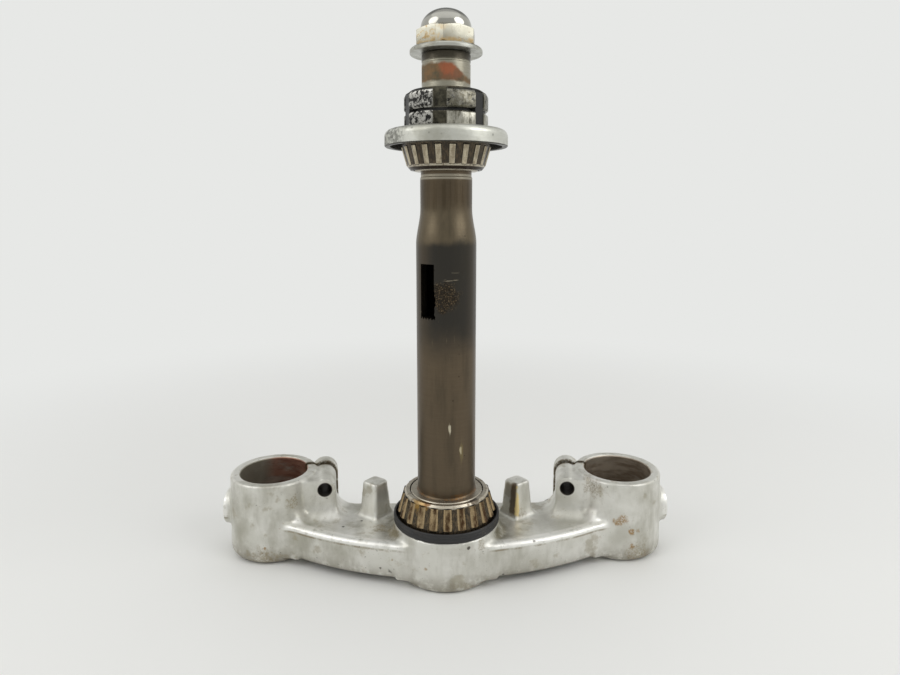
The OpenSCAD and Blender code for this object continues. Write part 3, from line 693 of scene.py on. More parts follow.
def cast_finish(settings):
    """Silver paint on cast aluminium, with stains, rust spots, pits and bare bores."""
    material, tree, shader, where = new_finish("silver_painted_casting", 0.6, 0.38)
    parts = axes_of(tree, where)
    side = put(tree, "CombineXYZ", {0: calc(tree, "ABSOLUTE", parts[0]), 1: parts[1], 2: parts[2]}).outputs[0]
    paint = mix(tree, remap(tree, noise_of(tree, where, 38, 3), 0.35, 0.65), tuple(settings.paint) + (1,),
                tone(226, 225, 219))
    # Grey clouds in the paint, laid on more heavily towards the left, where the extra darkening is painted
    # shade.
    cloud = patchy(tree, where, 30.0, 0.42, 0.14)
    left_painted_shade = remap(tree, parts[0], -0.010, -0.045, 0.62, 0.95)
    paint = lay(tree, paint, cloud, left_painted_shade, tone(178, 176, 164))
    film = patchy(tree, where, 95.0, 0.34, 0.05, 9.0)
    paint = lay(tree, paint, film, 0.42, tone(150, 138, 108))
    runs = patchy(tree, stretch(tree, where, (1, 1, 0.35)), 70.0, 0.40, 0.12, 6.0)
    paint = lay(tree, paint, runs, 0.52, tone(158, 155, 140))
    # Dirt low on the rings, and dirt and painted shade in the creases.
    low = remap(tree, parts[2], 0.014, 0.001)
    dust = patchy(tree, where, 150.0, 0.6, 0.1, 9.0)
    grime = times(tree, times(tree, dust, low), 0.6)
    crease_dirt_and_shade = times(tree, hollows(tree, 0.005, 0.72, 0.30, only_local=True),
                    patchy(tree, where, 260.0, 0.75, 0.14))
    # From here grime holds the dirt and the painted shade in the creases.
    grime = most(tree, grime, times(tree, crease_dirt_and_shade, 0.6))
    paint = mix(tree, grime, paint, tone(104, 92, 66))
    # The rim of the arms: a painted highlight along it, with a brown line under it.
    sweep = around(tree, where, (0, SWEEP_Y, 0))
    from_fork = around(tree, side, tuple(FORK))
    from_stem = around(tree, where)
    on_arm = times(tree, remap(tree, sweep, SWEEP_R - 0.0078, SWEEP_R - 0.0050),
                   remap(tree, from_fork, RING_FOOT_R + 0.0006, RING_FOOT_R + 0.0026))
    on_arm = times(tree, on_arm, remap(tree, from_stem, SEAT_R + 0.001, SEAT_R + 0.006))
    height_mask = times(tree, remap(tree, parts[2], 0.0224, 0.0232),
                        remap(tree, noise_of(tree, where, 260, 5), 0.25, 0.5))
    bright = times(tree, times(tree, on_arm, height_mask), 0.85)
    paint = mix(tree, bright, paint, tone(242, 241, 236))
    line = times(tree, remap(tree, parts[2], 0.0212, 0.0219), remap(tree, parts[2], 0.0228, 0.0222))
    line = times(tree, times(tree, line, on_arm), remap(tree, noise_of(tree, where, 120, 6, 0.7), 0.36, 0.58))
    paint = lay(tree, paint, line, 0.6, tone(120, 102, 66))
    # Oily dirt on the arms round the seal.
    oily = remap(tree, from_stem, SEAT_R + 0.013, SEAT_R - 0.001)
    oily = times(tree, oily, remap(tree, parts[2], 0.0200, 0.0245))
    oily = times(tree, oily, remap(tree, parts[2], 0.0302, 0.0288))
    oily = times(tree, oily, remap(tree, sweep, SWEEP_R - 0.0030, SWEEP_R - 0.0080))
    cloudy = remap(tree, noise_of(tree, where, 160, 6, 0.65), 0.28, 0.60)
    paint = lay(tree, paint, times(tree, oily, cloudy), 0.85, tone(98, 90, 60))
    # Stains and rust where the photograph shows them.
    stains = spots(tree, where, STAINS)
    mottle = remap(tree, noise_of(tree, where, 1100, 4, 0.6), 0.28, 0.76)
    paint = lay(tree, paint, times(tree, stains, mottle), 0.75, tone(132, 114, 74))
    rust = spots(tree, where, RUST)
    rust = times(tree, rust, remap(tree, noise_of(tree, where, 1000, 4, 0.6), 0.26, 0.66))
    rust_tone = mix(tree, noise_of(tree, where, 1500, 3), tone(88, 62, 28), tone(192, 146, 64))
    paint = lay(tree, paint, rust, 0.9, rust_tone)
    pits = dots_of(tree, where, 95.0, 0.10, 0.10)
    fine_pits = dots_of(tree, where, 300.0, 0.17, 0.15)
    grit = dots_of(tree, where, 720.0, 0.25, 0.14)
    paint = lay(tree, paint, grit, 0.30, tone(96, 88, 66))
    holes = spots(tree, where, PITS)
    dark_pits = most(tree, most(tree, pits, times(tree, fine_pits, 0.55)), holes)
    paint = lay(tree, paint, dark_pits, 0.85, tone(56, 48, 36))
    edges = worn_edges(tree, where, 0.0006, 0.55, 300.0)
    paint = mix(tree, edges, paint, tone(222, 220, 210))
    # The bores are bare and oxidised, the left one redder and the right one greyer.
    in_bore = remap(tree, from_fork, BORE_R + 0.0007, BORE_R + 0.0002)
    cloudy = remap(tree, noise_of(tree, stretch(tree, where, (1, 1, 4)), 70, 5), 0.35, 0.65)
    red = mix(tree, cloudy, tone(120, 80, 64), tone(156, 116, 98))
    red = mix(tree, remap(tree, parts[0], -0.112, -0.122), red, tone(146, 143, 128))
    grey = mix(tree, cloudy, tone(132, 118, 102), tone(176, 164, 148))
    oxide = mix(tree, calc(tree, "GREATER_THAN", parts[0], 0.0), red, grey)
    bare = patchy(tree, stretch(tree, where, (1, 1, 3)), 50.0, 0.34, 0.10)
    oxide = lay(tree, oxide, bare, 0.6, tone(176, 170, 158))
    colour = mix(tree, in_bore, paint, oxide)
    # The holes of the pinch bolts are painted dark: painted shade down inside them, over old grease round
    # their rims.
    turn = Matrix.Rotation(PINCH_TURN, 3, "Z")
    bolt = put(tree, "Mapping",
               {"Vector": side, "Location": tuple(-(turn @ PINCH)), "Rotation": (0, 0, PINCH_TURN)})
    off_axis = vectors(tree, "LENGTH", vectors(tree, "MULTIPLY", bolt.outputs[0], (1, 0, 1)))
    in_hole = remap(tree, off_axis, PINCH_HOLE_R + 0.0005, PINCH_HOLE_R + 0.0001)
    colour = lay(tree, colour, in_hole, 0.9, tone(44, 32, 22))
    # Dirt that has crept out of the slits.
    slit_side = calc(tree, "ABSOLUTE", axes_of(tree, bolt.outputs[0])[1])
    near_ear = remap(tree, around(tree, side, tuple(PINCH)), 0.018, 0.013)
    slit_dirt = times(tree, remap(tree, slit_side, 0.0032, 0.0014), near_ear)
    slit_dirt = times(tree, slit_dirt, remap(tree, noise_of(tree, where, 420, 5, 0.65), 0.30, 0.55))
    colour = lay(tree, colour, slit_dirt, 0.85, tone(92, 76, 44))
    for centre, width, shade in STOP_STREAKS:
        wavy = plus(tree, around(tree, where, centre), ripple(tree, where, 380, 4, 0.6, 0.0024))
        streak = times(tree, remap(tree, wavy, width, 0.5 * width), remap(tree, parts[2], 0.0250, 0.0275))
        colour = lay(tree, colour, streak, 0.85, shade)
    rough_paint = remap(tree, noise_of(tree, where, 170, 4), 0.3, 0.7, 0.35, 0.51)
    roughness = plus(tree, rough_paint, times(tree, most(tree, rust, grime), 0.3))
    dull = most(tree, most(tree, rust, grime), times(tree, stains, 0.5))
    metallic = times(tree, 0.62, minus(tree, 1.0, dull), clamp=True)
    lumps = times(tree, noise_of(tree, where, 130, 3), 0.6)
    grain = plus(tree, lumps, times(tree, noise_of(tree, where, 1000, 3), 0.2))
    height = minus(tree, grain, times(tree, dark_pits, 0.8))
    finish_with(tree, shader, colour, roughness, metallic, height, depth=0.00035, strength=0.55)
    return material


def stem_finish(settings):
    """Dark oiled steel, with the bands that grease and wear left; painted dark reflection across the oiled
    band, and painted shade on the pin's top.
    """
    material, tree, shader, where = new_finish("oiled_stem_steel", 0.92, 0.36)
    rings = noise_of(tree, stretch(tree, where, (4, 4, 90)), 14, 4, 0.6)
    runs = noise_of(tree, stretch(tree, where, (60, 60, 3)), 9, 5, 0.65)
    brown = mix(tree, runs, tuple(settings.patina) + (1,), tone(106, 94, 77))
    brown = lay(tree, brown, rings, 0.5, tone(80, 68, 53))
    taper = band_of(tree, where, 0.193, 0.214, 0.004, 0.003, 60.0)
    brown = lay(tree, brown, taper, 0.7, tone(106, 96, 78))
    neck = band_of(tree, where, 0.2130, 0.2285, 0.003, 0.003, 90.0)
    brown = lay(tree, brown, neck, remap(tree, runs, 0.35, 0.65, 0.25, 0.75), tone(70, 60, 45))
    # A black band of oil, darkest in the middle that faces the camera and paler at both sides; that fall-off
    # across the stem is painted dark reflection.
    oil_and_dark_reflection = times(tree, band_of(tree, where, 0.10, 0.1945, 0.003, 0.003, 90.0),
                band_of(tree, where, 0.140, 0.30, 0.012, 0.008, 40.0))
    axes = axes_of(tree, where)
    oil_and_dark_reflection = times(tree, oil_and_dark_reflection, remap(tree, axes[0], -0.0145, -0.0060, 0.45, 0.93))
    oil_and_dark_reflection = times(tree, oil_and_dark_reflection, remap(tree, axes[0], 0.0155, 0.0090, 0.72, 1.0))
    colour = mix(tree, oil_and_dark_reflection, brown, tone(52, 51, 48))
    smear = patchy(tree, stretch(tree, where, (30, 30, 6)), 3.0, 0.4, 0.1)
    colour = lay(tree, colour, smear, 0.35, tone(58, 54, 46))
    polished = band_of(tree, where, 0.2285, 0.2312, 0.0004, 0.0, 40.0)
    colour = mix(tree, polished, colour, tone(150, 143, 128))
    # Corrosion round the lock's window.
    crust = spot_of(tree, where, (-0.0020, -0.0165, 0.165), 0.011, 0.004, 260.0)
    flecks = noise_of(tree, where, 1300, 4, 0.7)
    crust_tone = mix(tree, remap(tree, flecks, 0.50, 0.66), tone(44, 38, 30), tone(120, 104, 82))
    colour = lay(tree, colour, crust, remap(tree, flecks, 0.30, 0.55), crust_tone)
    glints = patchy(tree, stretch(tree, where, (10, 10, 90)), 8.0, 0.26, 0.04)
    near = spot_of(tree, where, (0.001, -0.0165, 0.174), 0.009, 0.003, 120.0)
    colour = lay(tree, colour, times(tree, glints, near), 0.8, tone(150, 140, 122))
    scratches = patchy(tree, stretch(tree, where, (90, 90, 7)), 9.0, 0.24, 0.04)
    below = spot_of(tree, stretch(tree, where, (1, 1, 0.5)), (-0.002, -0.0168, 0.072), 0.009, 0.002, 120.0)
    colour = lay(tree, colour, times(tree, scratches, below), 0.7, tone(118, 106, 84))
    for centre, size, shade in STEM_NICKS:
        tall = put(tree, "Mapping",
                   {"Vector": where, "Scale": (1, 1, NICK_SQUEEZE),
                    "Location": (-centre[0], -centre[1], -centre[2] * NICK_SQUEEZE)}).outputs[0]
        nick = spot_of(tree, tall, (0, 0, 0), size, 0.0006, 900.0)
        colour = mix(tree, nick, colour, shade)
    # Brown scale where the stem leaves its bearing, and pale torn metal at the window's lower corner.
    foot = band_of(tree, where, 0.040, 0.0520, 0.0008, 0.0012, 160.0)
    foot = times(tree, foot, remap(tree, noise_of(tree, where, 210, 5, 0.65), 0.40, 0.62))
    colour = lay(tree, colour, foot, 0.8, tone(112, 80, 44))
    torn = spot_of(tree, where, (-0.0122, -0.0117, 0.1565), 0.0032, 0.0016, 500.0)
    colour = lay(tree, colour, torn, 0.75, tone(160, 148, 124))
    # The pin: rust patch, clean foot, and a dark top that is painted shade under the washer.
    pin = band_of(tree, where, LOCK_TOP_Z, 0.296, 0.0003, 0.0)
    pin_colour = mix(tree, noise_of(tree, stretch(tree, where, (1, 1, 6)), 200, 4), tone(134, 129, 112),
                     tone(168, 164, 150))
    # Painted shade: the top of the pin darkened under the washer.
    top = band_of(tree, where, 0.2905, 0.30, 0.0003, 0.0)
    pin_colour = lay(tree, pin_colour, top, 0.9, tone(58, 53, 44))
    rust_low = band_of(tree, where, 0.2792, 0.2905, 0.0007, 0.0012, 160.0)
    # The rust's upper edge falls from the middle of the pin to its right side.
    slope = times(tree, remap(tree, axes[0], 0.001, 0.0125), 0.0066)
    above = plus(tree, plus(tree, axes[2], slope), ripple(tree, where, 230, 5, 0.65, 0.0040))
    rust_shape = remap(tree, above, 0.2893, 0.2872)
    rust = times(tree, rust_low, times(tree, rust_shape, 0.95))
    blotch = remap(tree, noise_of(tree, stretch(tree, where, (1, 1, 1.6)), 150, 6, 0.68), 0.34, 0.66)
    rust_colour = mix(tree, blotch, tone(86, 76, 52), tone(124, 92, 54))
    core = spot_of(tree, where, (0.0030, -0.0128, 0.2850), 0.0088, 0.0022, 320.0)
    rust_colour = lay(tree, rust_colour, core, 0.75, tone(134, 82, 52))
    heart = spot_of(tree, where, (0.0012, -0.0131, 0.2862), 0.0056, 0.0018, 380.0)
    rust_colour = lay(tree, rust_colour, heart, 0.65, tone(168, 88, 50))
    pin_colour = mix(tree, rust, pin_colour, rust_colour)
    colour = mix(tree, pin, colour, pin_colour)
    dots = dots_of(tree, where, 300.0, 0.18, 0.08)
    colour = lay(tree, colour, dots, 0.5, tone(30, 27, 22))
    roughness = plus(tree, remap(tree, runs, 0.3, 0.7, 0.30, 0.42),
                     times(tree, most(tree, crust, times(tree, rust, pin)), 0.35))
    metallic = minus(tree, 0.92, times(tree, times(tree, rust, pin), 0.75))
    height = plus(tree, times(tree, rings, 0.25),
                  times(tree, flecks, plus(tree, 0.06, times(tree, crust, 1.5))))
    finish_with(tree, shader, colour, roughness, metallic, height, depth=0.0003, strength=0.5)
    return material


def rubber_finish():
    """Black rubber with dust and dried grease."""
    material, tree, shader, where = new_finish("seal_rubber", 0.0, 0.5)
    base = mix(tree, noise_of(tree, where, 90, 4), tone(22, 22, 23), tone(38, 37, 38))
    dust = patchy(tree, where, 120.0, 0.3, 0.1, 8.0)
    base = lay(tree, base, dust, 0.3, tone(78, 70, 56))
    dots = dots_of(tree, where, 420.0, 0.2, 0.08)
    base = lay(tree, base, dots, 0.5, tone(118, 112, 100))
    roughness = remap(tree, noise_of(tree, where, 60, 3), 0.3, 0.7, 0.42, 0.62)
    height = noise_of(tree, where, 700, 4)
    finish_with(tree, shader, base, roughness, None, height, depth=0.0001, strength=0.4)
    return material


def bearing_finish(name, light, dark, stain, stain_cover, rough=(0.24, 0.4)):
    """Ground bearing steel under stains of old grease, with painted shade in its hollows: the material and
    what more can be laid over it.
    """
    material, tree, shader, where = new_finish(name, 0.9, 0.3)
    grain = noise_of(tree, stretch(tree, where, (3, 3, 60)), 60, 4, 0.6)
    base = mix(tree, grain, light, dark)
    runs = stretch(tree, where, (1.6, 1.6, 0.55))
    grime = patchy(tree, runs, 210.0, stain_cover, 0.08, 8.0, 0.66)
    colour = lay(tree, base, grime, 0.85, stain)
    # Painted shade: near black in the hollows between the bearing's pieces.
    colour = lay(tree, colour, hollows(tree, 0.0022, 0.66, 0.22), 0.9, tone(24, 17, 11))
    edges = worn_edges(tree, where, 0.0004, 0.7, 600.0)
    colour = mix(tree, edges, colour, light)
    roughness = plus(tree, remap(tree, grain, 0.3, 0.7, rough[0], rough[1]), times(tree, grime, 0.2))
    metallic = minus(tree, 0.9, times(tree, grime, 0.45))
    height = plus(tree, times(tree, grain, 0.3), times(tree, grime, 0.25))
    finish_with(tree, shader, colour, roughness, metallic, height, depth=0.00012, strength=0.4)
    return material, tree, shader, where, colour


def roller_finish(name, light, dark, heart, heart_share, shade_from, shade_to):
    """A roller: polished at its sides, stained down its middle, and black with painted shade where it turns
    away into the cage.
    """
    material, tree, shader, where, colour = bearing_finish(name, light, dark, heart, 0.26)
    outwards = vectors(tree, "NORMALIZE", flat_of(tree, where))
    facing = vectors(tree, "DOT_PRODUCT", outwards, put(tree, "TexCoord").outputs["Normal"])
    blot = remap(tree, noise_of(tree, stretch(tree, where, (1, 1, 0.4)), 330, 5, 0.65), 0.34, 0.62)
    middle = times(tree, remap(tree, facing, 0.80, 0.93), times(tree, blot, heart_share))
    colour = mix(tree, middle, colour, heart)
    # Painted shade: black where the roller turns away from the outside, towards its neighbours and the cage.
    colour = mix(tree, remap(tree, facing, shade_from, shade_to), colour, tone(24, 18, 12))
    tree.links.new(colour, shader.inputs["Base Color"])
    return material


def cage_finish(name, light, dark, stain, windows, bar_highlight, marks=(), painted_shade_below=0.0):
    """A pressed cage: bars dark with old grease and painted shade between the rollers, with streaks of
    painted highlight, stained flanges, and painted shade below a given height.
    """
    material, tree, shader, where, colour = bearing_finish(name, light, dark, stain, 0.36)
    height = axes_of(tree, where)[2]
    # Painted shade: black below a given height, in the recess under the cage.
    colour = mix(tree, remap(tree, height, painted_shade_below + 0.0003, painted_shade_below - 0.0002), colour,
                 tone(46, 38, 30))
    # The bars between the rollers: dark with old grease and painted shade, with lighter streaks of painted
    # highlight.
    bars = band_of(tree, where, windows[0], windows[1], 0.0004, 0.0004, 300.0)
    streaks = remap(tree, noise_of(tree, stretch(tree, where, (3, 3, 0.5)), 420, 5, 0.7), 0.40, 0.66)
    blackish = mix(tree, streaks, tone(26, 19, 12), bar_highlight)
    colour = lay(tree, colour, bars, 0.92, blackish)
    for centre, size, shade in marks:
        mark = spot_of(tree, where, centre, size, size / 3, 300.0)
        colour = lay(tree, colour, mark, 0.8, shade)
    tree.links.new(colour, shader.inputs["Base Color"])
    return material


def cover_finish():
    """Dull zinc plate, speckled with dirt, and turned black underneath and inside the dish by painted shade.
    """
    material, tree, shader, where = new_finish("dull_zinc_cover", 0.8, 0.38)
    base = mix(tree, noise_of(tree, stretch(tree, where, (1, 1, 6)), 70, 5, 0.65), tone(182, 182, 172),
               tone(214, 214, 206))
    film = patchy(tree, where, 60.0, 0.48, 0.12)
    base = lay(tree, base, film, 0.5, tone(136, 134, 118))
    left = remap(tree, axes_of(tree, where)[0], -0.014, -0.032)
    dots = dots_of(tree, where, 340.0, 0.30, 0.16)
    heavy = patchy(tree, where, 330.0, 0.52, 0.05, 9.0, 0.7)
    base = lay(tree, base, heavy, times(tree, left, 0.8), tone(46, 43, 36))
    base = lay(tree, base, dots, 0.5, tone(66, 62, 52))
    # Painted shade: black on faces that turn downwards and inside the dish.
    under = axes_of(tree, put(tree, "NewGeometry").outputs["Normal"])[2]
    height_now = axes_of(tree, where)[2]
    inside = times(tree, remap(tree, around(tree, where), 0.0322, 0.0312),
                   remap(tree, height_now, 0.2535, 0.2515))
    black = most(tree, times(tree, inside, 0.95), remap(tree, under, -0.2, -0.6))
    blackish = mix(tree, noise_of(tree, where, 420, 5, 0.7), tone(24, 23, 20), tone(74, 70, 58))
    base = mix(tree, black, base, blackish)
    # Painted shade in the hollows.
    base = lay(tree, base, hollows(tree, 0.003, 0.7, 0.25), 0.85, tone(40, 37, 30))
    roughness = remap(tree, noise_of(tree, where, 120, 4), 0.3, 0.7, 0.30, 0.46)
    height = noise_of(tree, stretch(tree, where, (1, 1, 3)), 420, 4)
    finish_with(tree, shader, base, roughness, minus(tree, 0.8, times(tree, black, 0.6)),
                height, depth=0.0001, strength=0.35)
    return material


def ring_nut_finish(name, black_share, worn_steel):
    """Black finish worn and chipped down to grey steel, with painted shade in the slot that faces the camera,
    and white chipped spots on the upward bevel at the left that are painted highlight as well as wear.
    """
    material, tree, shader, where = new_finish(name, 0.7, 0.4)
    steel = mix(tree, remap(tree, noise_of(tree, stretch(tree, where, (26, 26, 8)), 14, 6, 0.75), 0.3, 0.7),
                tone(80, 77, 64), tuple(worn_steel))
    black = mix(tree, noise_of(tree, where, 240, 4), tone(14, 14, 13), tone(36, 35, 32))
    x = axes_of(tree, where)[0]
    left = remap(tree, x, -0.0048, -0.0066)
    cover = plus(tree, black_share, times(tree, left, 0.5))
    kept = patchy(tree, where, 260.0, cover, 0.05, 10.0, 0.74)
    top = remap(tree, axes_of(tree, where)[2], LOCK_TOP_Z - 0.0022, LOCK_TOP_Z - 0.0014)
    in_slot = remap(tree, around(tree, where), NUT_R - 0.0012, NUT_R - 0.0020)
    kept = most(tree, kept, most(tree, top, in_slot))
    colour = mix(tree, kept, steel, black)
    # The slot that faces the camera is painted a dull olive grey, darker than the steel: painted shade in its
    # depth.
    middle = times(tree, in_slot, remap(tree, calc(tree, "ABSOLUTE", x), 0.012, 0.009))
    slot_shade = mix(tree, remap(tree, noise_of(tree, where, 300, 5, 0.7), 0.3, 0.7), tone(46, 44, 36),
                tone(104, 100, 84))
    colour = lay(tree, colour, middle, 0.8, slot_shade)
    # White chips down to bright metal, laid on most on the upward bevel at the left: there they are painted
    # highlight as well as wear.
    chips_and_highlight = patchy(tree, where, 430.0, 0.50, 0.04, 8.0, 0.72)
    bevel = put(tree, "NewGeometry").outputs["Normal"]
    tilt = remap(tree, axes_of(tree, bevel)[2], 0.12, 0.5)
    share = plus(tree, 0.12, times(tree, left, plus(tree, 0.38, times(tree, tilt, 0.62))), clamp=True)
    share = times(tree, share, minus(tree, 1.0, most(tree, top, in_slot)))
    chips_and_highlight = times(tree, chips_and_highlight, share)
    colour = mix(tree, chips_and_highlight, colour, tone(236, 234, 226))
    edges = worn_edges(tree, where, 0.0006, 0.8, 420.0)
    colour = mix(tree, edges, colour, tone(164, 160, 146))
    roughness = plus(tree, 0.28, times(tree, kept, 0.16))
    metallic = minus(tree, 0.9, times(tree, kept, 0.8))
    sheen = minus(tree, 0.5, times(tree, kept, 0.36))
    tree.links.new(sheen, shader.inputs["Specular IOR Level"])
    height = plus(tree, times(tree, kept, 0.6), times(tree, noise_of(tree, where, 900, 3), 0.3))
    finish_with(tree, shader, colour, roughness, metallic, height, depth=0.00014, strength=0.6)
    return material


def black_spring_finish():
    """Black oiled spring steel."""
    material, tree, shader, where = new_finish("black_lock_washer", 0.3, 0.45)
    base = mix(tree, noise_of(tree, where, 260, 4), tone(18, 18, 18), tone(38, 37, 35))
    dust = patchy(tree, where, 330.0, 0.25, 0.08)
    base = lay(tree, base, dust, 0.4, tone(84, 78, 66))
    finish_with(tree, shader, base, remap(tree, dust, 0.0, 1.0, 0.4, 0.6), None,
                noise_of(tree, where, 900, 3), depth=0.0001, strength=0.3)
    return material


def washer_finish():
    """Zinc plate, a little stained."""
    material, tree, shader, where = new_finish("zinc_stem_washer", 0.9, 0.32)
    base = mix(tree, noise_of(tree, where, 90, 4), tone(168, 168, 160), tone(198, 198, 190))
    film = patchy(tree, where, 130.0, 0.4, 0.1)
    base = lay(tree, base, film, 0.5, tone(126, 120, 104))
    dots = dots_of(tree, where, 420.0, 0.25, 0.12)
    base = lay(tree, base, dots, 0.6, tone(70, 66, 58))
    finish_with(tree, shader, base, remap(tree, noise_of(tree, where, 150, 4), 0.3, 0.7, 0.26, 0.44), None,
                noise_of(tree, where, 800, 4), depth=0.0001, strength=0.3)
    return material


def chrome_finish(settings):
    """Chrome plate with rust that creeps up from the washer."""
    material, tree, shader, where = new_finish("cap_nut_chrome", 1.0, 0.09)
    base = mix(tree, noise_of(tree, where, 60, 3), tuple(settings.chrome) + (1,), tone(158, 156, 148))
    low = band_of(tree, where, CAP_Z - 0.004, CAP_Z + 0.0022, 0.0016, 0.002, 240.0)
    parts = axes_of(tree, where)
    left = remap(tree, parts[0], 0.004, -0.010)
    hexagon = remap(tree, parts[2], CAP_Z + HEX_H + 0.001, CAP_Z + HEX_H - 0.002)
    blooms = patchy(tree, where, 300.0, 0.46, 0.07, 9.0, 0.68)
    rust = most(tree, times(tree, low, remap(tree, noise_of(tree, where, 420, 4), 0.3, 0.55)),
                times(tree, times(tree, blooms, left), hexagon))
    stain = mix(tree, noise_of(tree, where, 700, 4), tone(150, 112, 58), tone(196, 170, 112))
    colour = lay(tree, base, hexagon, 0.8, tone(156, 153, 138))
    colour = lay(tree, colour, rust, 0.85, stain)
    scores = patchy(tree, stretch(tree, where, (9, 9, 1)), 90.0, 0.26, 0.05)
    colour = lay(tree, colour, times(tree, scores, hexagon), 0.6, tone(96, 84, 60))
    flaws = dots_of(tree, where, 520.0, 0.3, 0.10)
    flaws = times(tree, flaws, hexagon)
    colour = lay(tree, colour, flaws, 0.7, tone(92, 74, 44))
    roughness = plus(tree, remap(tree, noise_of(tree, where, 260, 4), 0.35, 0.7, 0.06, 0.16),
                     times(tree, most(tree, rust, times(tree, hexagon, 0.5)), 0.4))
    metallic = minus(tree, 1.0, times(tree, rust, 0.6))
    height = plus(tree, times(tree, noise_of(tree, where, 260, 3), 0.35), times(tree, rust, 0.3))
    finish_with(tree, shader, colour, roughness, metallic, height, depth=0.00012, strength=0.3)
    return material


# Settings

class BridgeSettings(bpy.types.PropertyGroup):
    """Sizes and colour of the cast bridge."""
    voxel: FloatProperty(name="Mesh size", description="Edge length of the casting's mesh", default=0.00095,
                         min=0.0007, max=0.004, unit="LENGTH")
    softness: IntProperty(name="Softness", description="How far the casting's edges are rounded", default=3,
                          min=0, max=40)
    web_r: FloatProperty(name="Web radius",
                         description="Radius of the hollow between an arm and a clamp ring", default=0.026,
                         min=0.01, max=0.05, unit="LENGTH")
    paint: FloatVectorProperty(name="Paint", description="Colour of the silver paint", subtype="COLOR",
                               size=3, default=tone(214, 213, 205)[:3])


class StemSettings(bpy.types.PropertyGroup):
    """Finish of the stem."""
    patina: FloatVectorProperty(name="Patina", description="Colour of the bare steel", subtype="COLOR",
                                size=3, default=tone(92, 81, 67)[:3])
    rag: FloatProperty(name="Ragged window", description="How far the lock window's edge is eaten away",
                       default=0.0006, min=0.0, max=0.001, unit="LENGTH")


class NutSettings(bpy.types.PropertyGroup):
    """Finish and edges of the stack on the stem's top."""
    edge: FloatProperty(name="Edge", description="Rounding of the nuts' edges", default=0.0003, min=0.0001,
                        max=0.001, unit="LENGTH")
    chrome: FloatVectorProperty(name="Chrome", description="Colour of the cap nut's plating", subtype="COLOR",
                                size=3, default=tone(188, 187, 180)[:3])


class StageSettings(bpy.types.PropertyGroup):
    """Floor, light and camera."""
    floor: FloatVectorProperty(name="Floor", description="Colour of the floor", subtype="COLOR", size=3,
                               default=(0.86, 0.863, 0.845))
    backdrop: FloatVectorProperty(name="Backdrop", description="Colour behind the object", subtype="COLOR",
                                  size=3, default=tone(231, 232, 230)[:3])
    lens: FloatProperty(name="Lens", description="Focal length on a 36 mm sensor", default=25.14, min=10,
                        max=200, unit="CAMERA")
    left: FloatProperty(name="Left light", description="Power of the left lamp", default=3.4, min=0, max=50,
                        unit="POWER")
    right: FloatProperty(name="Right light", description="Power of the right lamp", default=4.2, min=0,
                         max=50, unit="POWER")
    top: FloatProperty(name="Top light", description="Power of the lamp above the object", default=2.2, min=0,
                       max=50, unit="POWER")


# The photograph's camera, fitted to it: place, turn and the picture's shift as a share of its width.
CAMERA_AT = (-0.002645, -0.35305, 0.21208)
CAMERA_TURN = (math.radians(90 - 8.1407), 0, math.radians(-0.7695))
CAMERA_SHIFT = -37.5 / 900


# Operators

def circle_meet(first, first_r, second, second_r, towards):
    """The point where two circles meet, on the side of towards."""
    gap = second - first
    along = (first_r * first_r - second_r * second_r + gap.length_squared) / (2 * gap.length)
    across = math.sqrt(max(first_r * first_r - along * along, 0))
    middle = first + gap.normalized() * along
    side = Vector((-gap.y, gap.x)).normalized() * across
    return min((middle + side, middle - side), key=lambda point: (point - towards).length)


def web(name, centre, radius, hollow_r, towards, low, high):
    """A filler with a hollow face, where the arm's rear face meets a round boss or ring."""
    sweep = Vector((0, SWEEP_Y))
    middle = circle_meet(sweep, SWEEP_R + hollow_r, centre, radius + hollow_r, towards)
    on_arm = sweep + (middle - sweep).normalized() * (SWEEP_R - 0.0002)
    on_ring = centre + (middle - centre).normalized() * (radius - 0.0002)
    start = math.atan2(on_arm.y - middle.y, on_arm.x - middle.x)
    end = math.atan2(on_ring.y - middle.y, on_ring.x - middle.x)
    turn = (end - start + math.pi) % (2 * math.pi) - math.pi
    outline = [middle + hollow_r * Vector((math.cos(a), math.sin(a)))
               for a in [start + turn * i / 12 for i in range(13)]]
    outline += [centre + (on_ring - centre) * 0.75, sweep + (on_arm - sweep) * 0.965]
    return prism(name, [tuple(point) for point in outline], low, high)


def pinch_matrix(side):
    """The place of a pinch bolt, with Y along it. side is 1 on the right and -1 on the left."""
    right = Matrix.Translation(PINCH) @ Matrix.Rotation(-PINCH_TURN, 4, "Z")
    return right if side > 0 else MIRROR @ right


def along_y(obj):
    """Lays an upright piece along the Y axis."""
    return place(obj, Matrix.Rotation(math.radians(-90), 4, "X"))


def both(make):
    """The right piece and its mirror image on the left."""
    right = make()
    left = make()
    return [right, place(left, MIRROR)]


def frustum(name, foot_w, top_w, low, high):
    """A square frustum standing between two heights."""
    deselect()
    bpy.ops.mesh.primitive_cone_add(vertices=4, radius1=foot_w / math.sqrt(2), radius2=top_w / math.sqrt(2),
                                    depth=high - low, location=(0, 0, (low + high) / 2),
                                    rotation=(0, 0, math.pi / 4))
    obj = bpy.context.object
    obj.name = name
    return fix_place(obj)


def stop_pillar():
    """A steering stop with rounded edges and a slightly bevelled top."""
    pillar = frustum("stop_pillar", STOP_FOOT_W, STOP_TOP_W, ARM_TOP - 0.002, STOP_H)
    bevel_where(pillar, lambda a, b: abs(a.z - b.z) > STOP_H / 3, STOP_ROUND, 4)
    bevel_where(pillar, lambda a, b: min(a.z, b.z) > STOP_H - 0.0001, STOP_BEVEL, 3)
    return tidy_mesh(pillar)


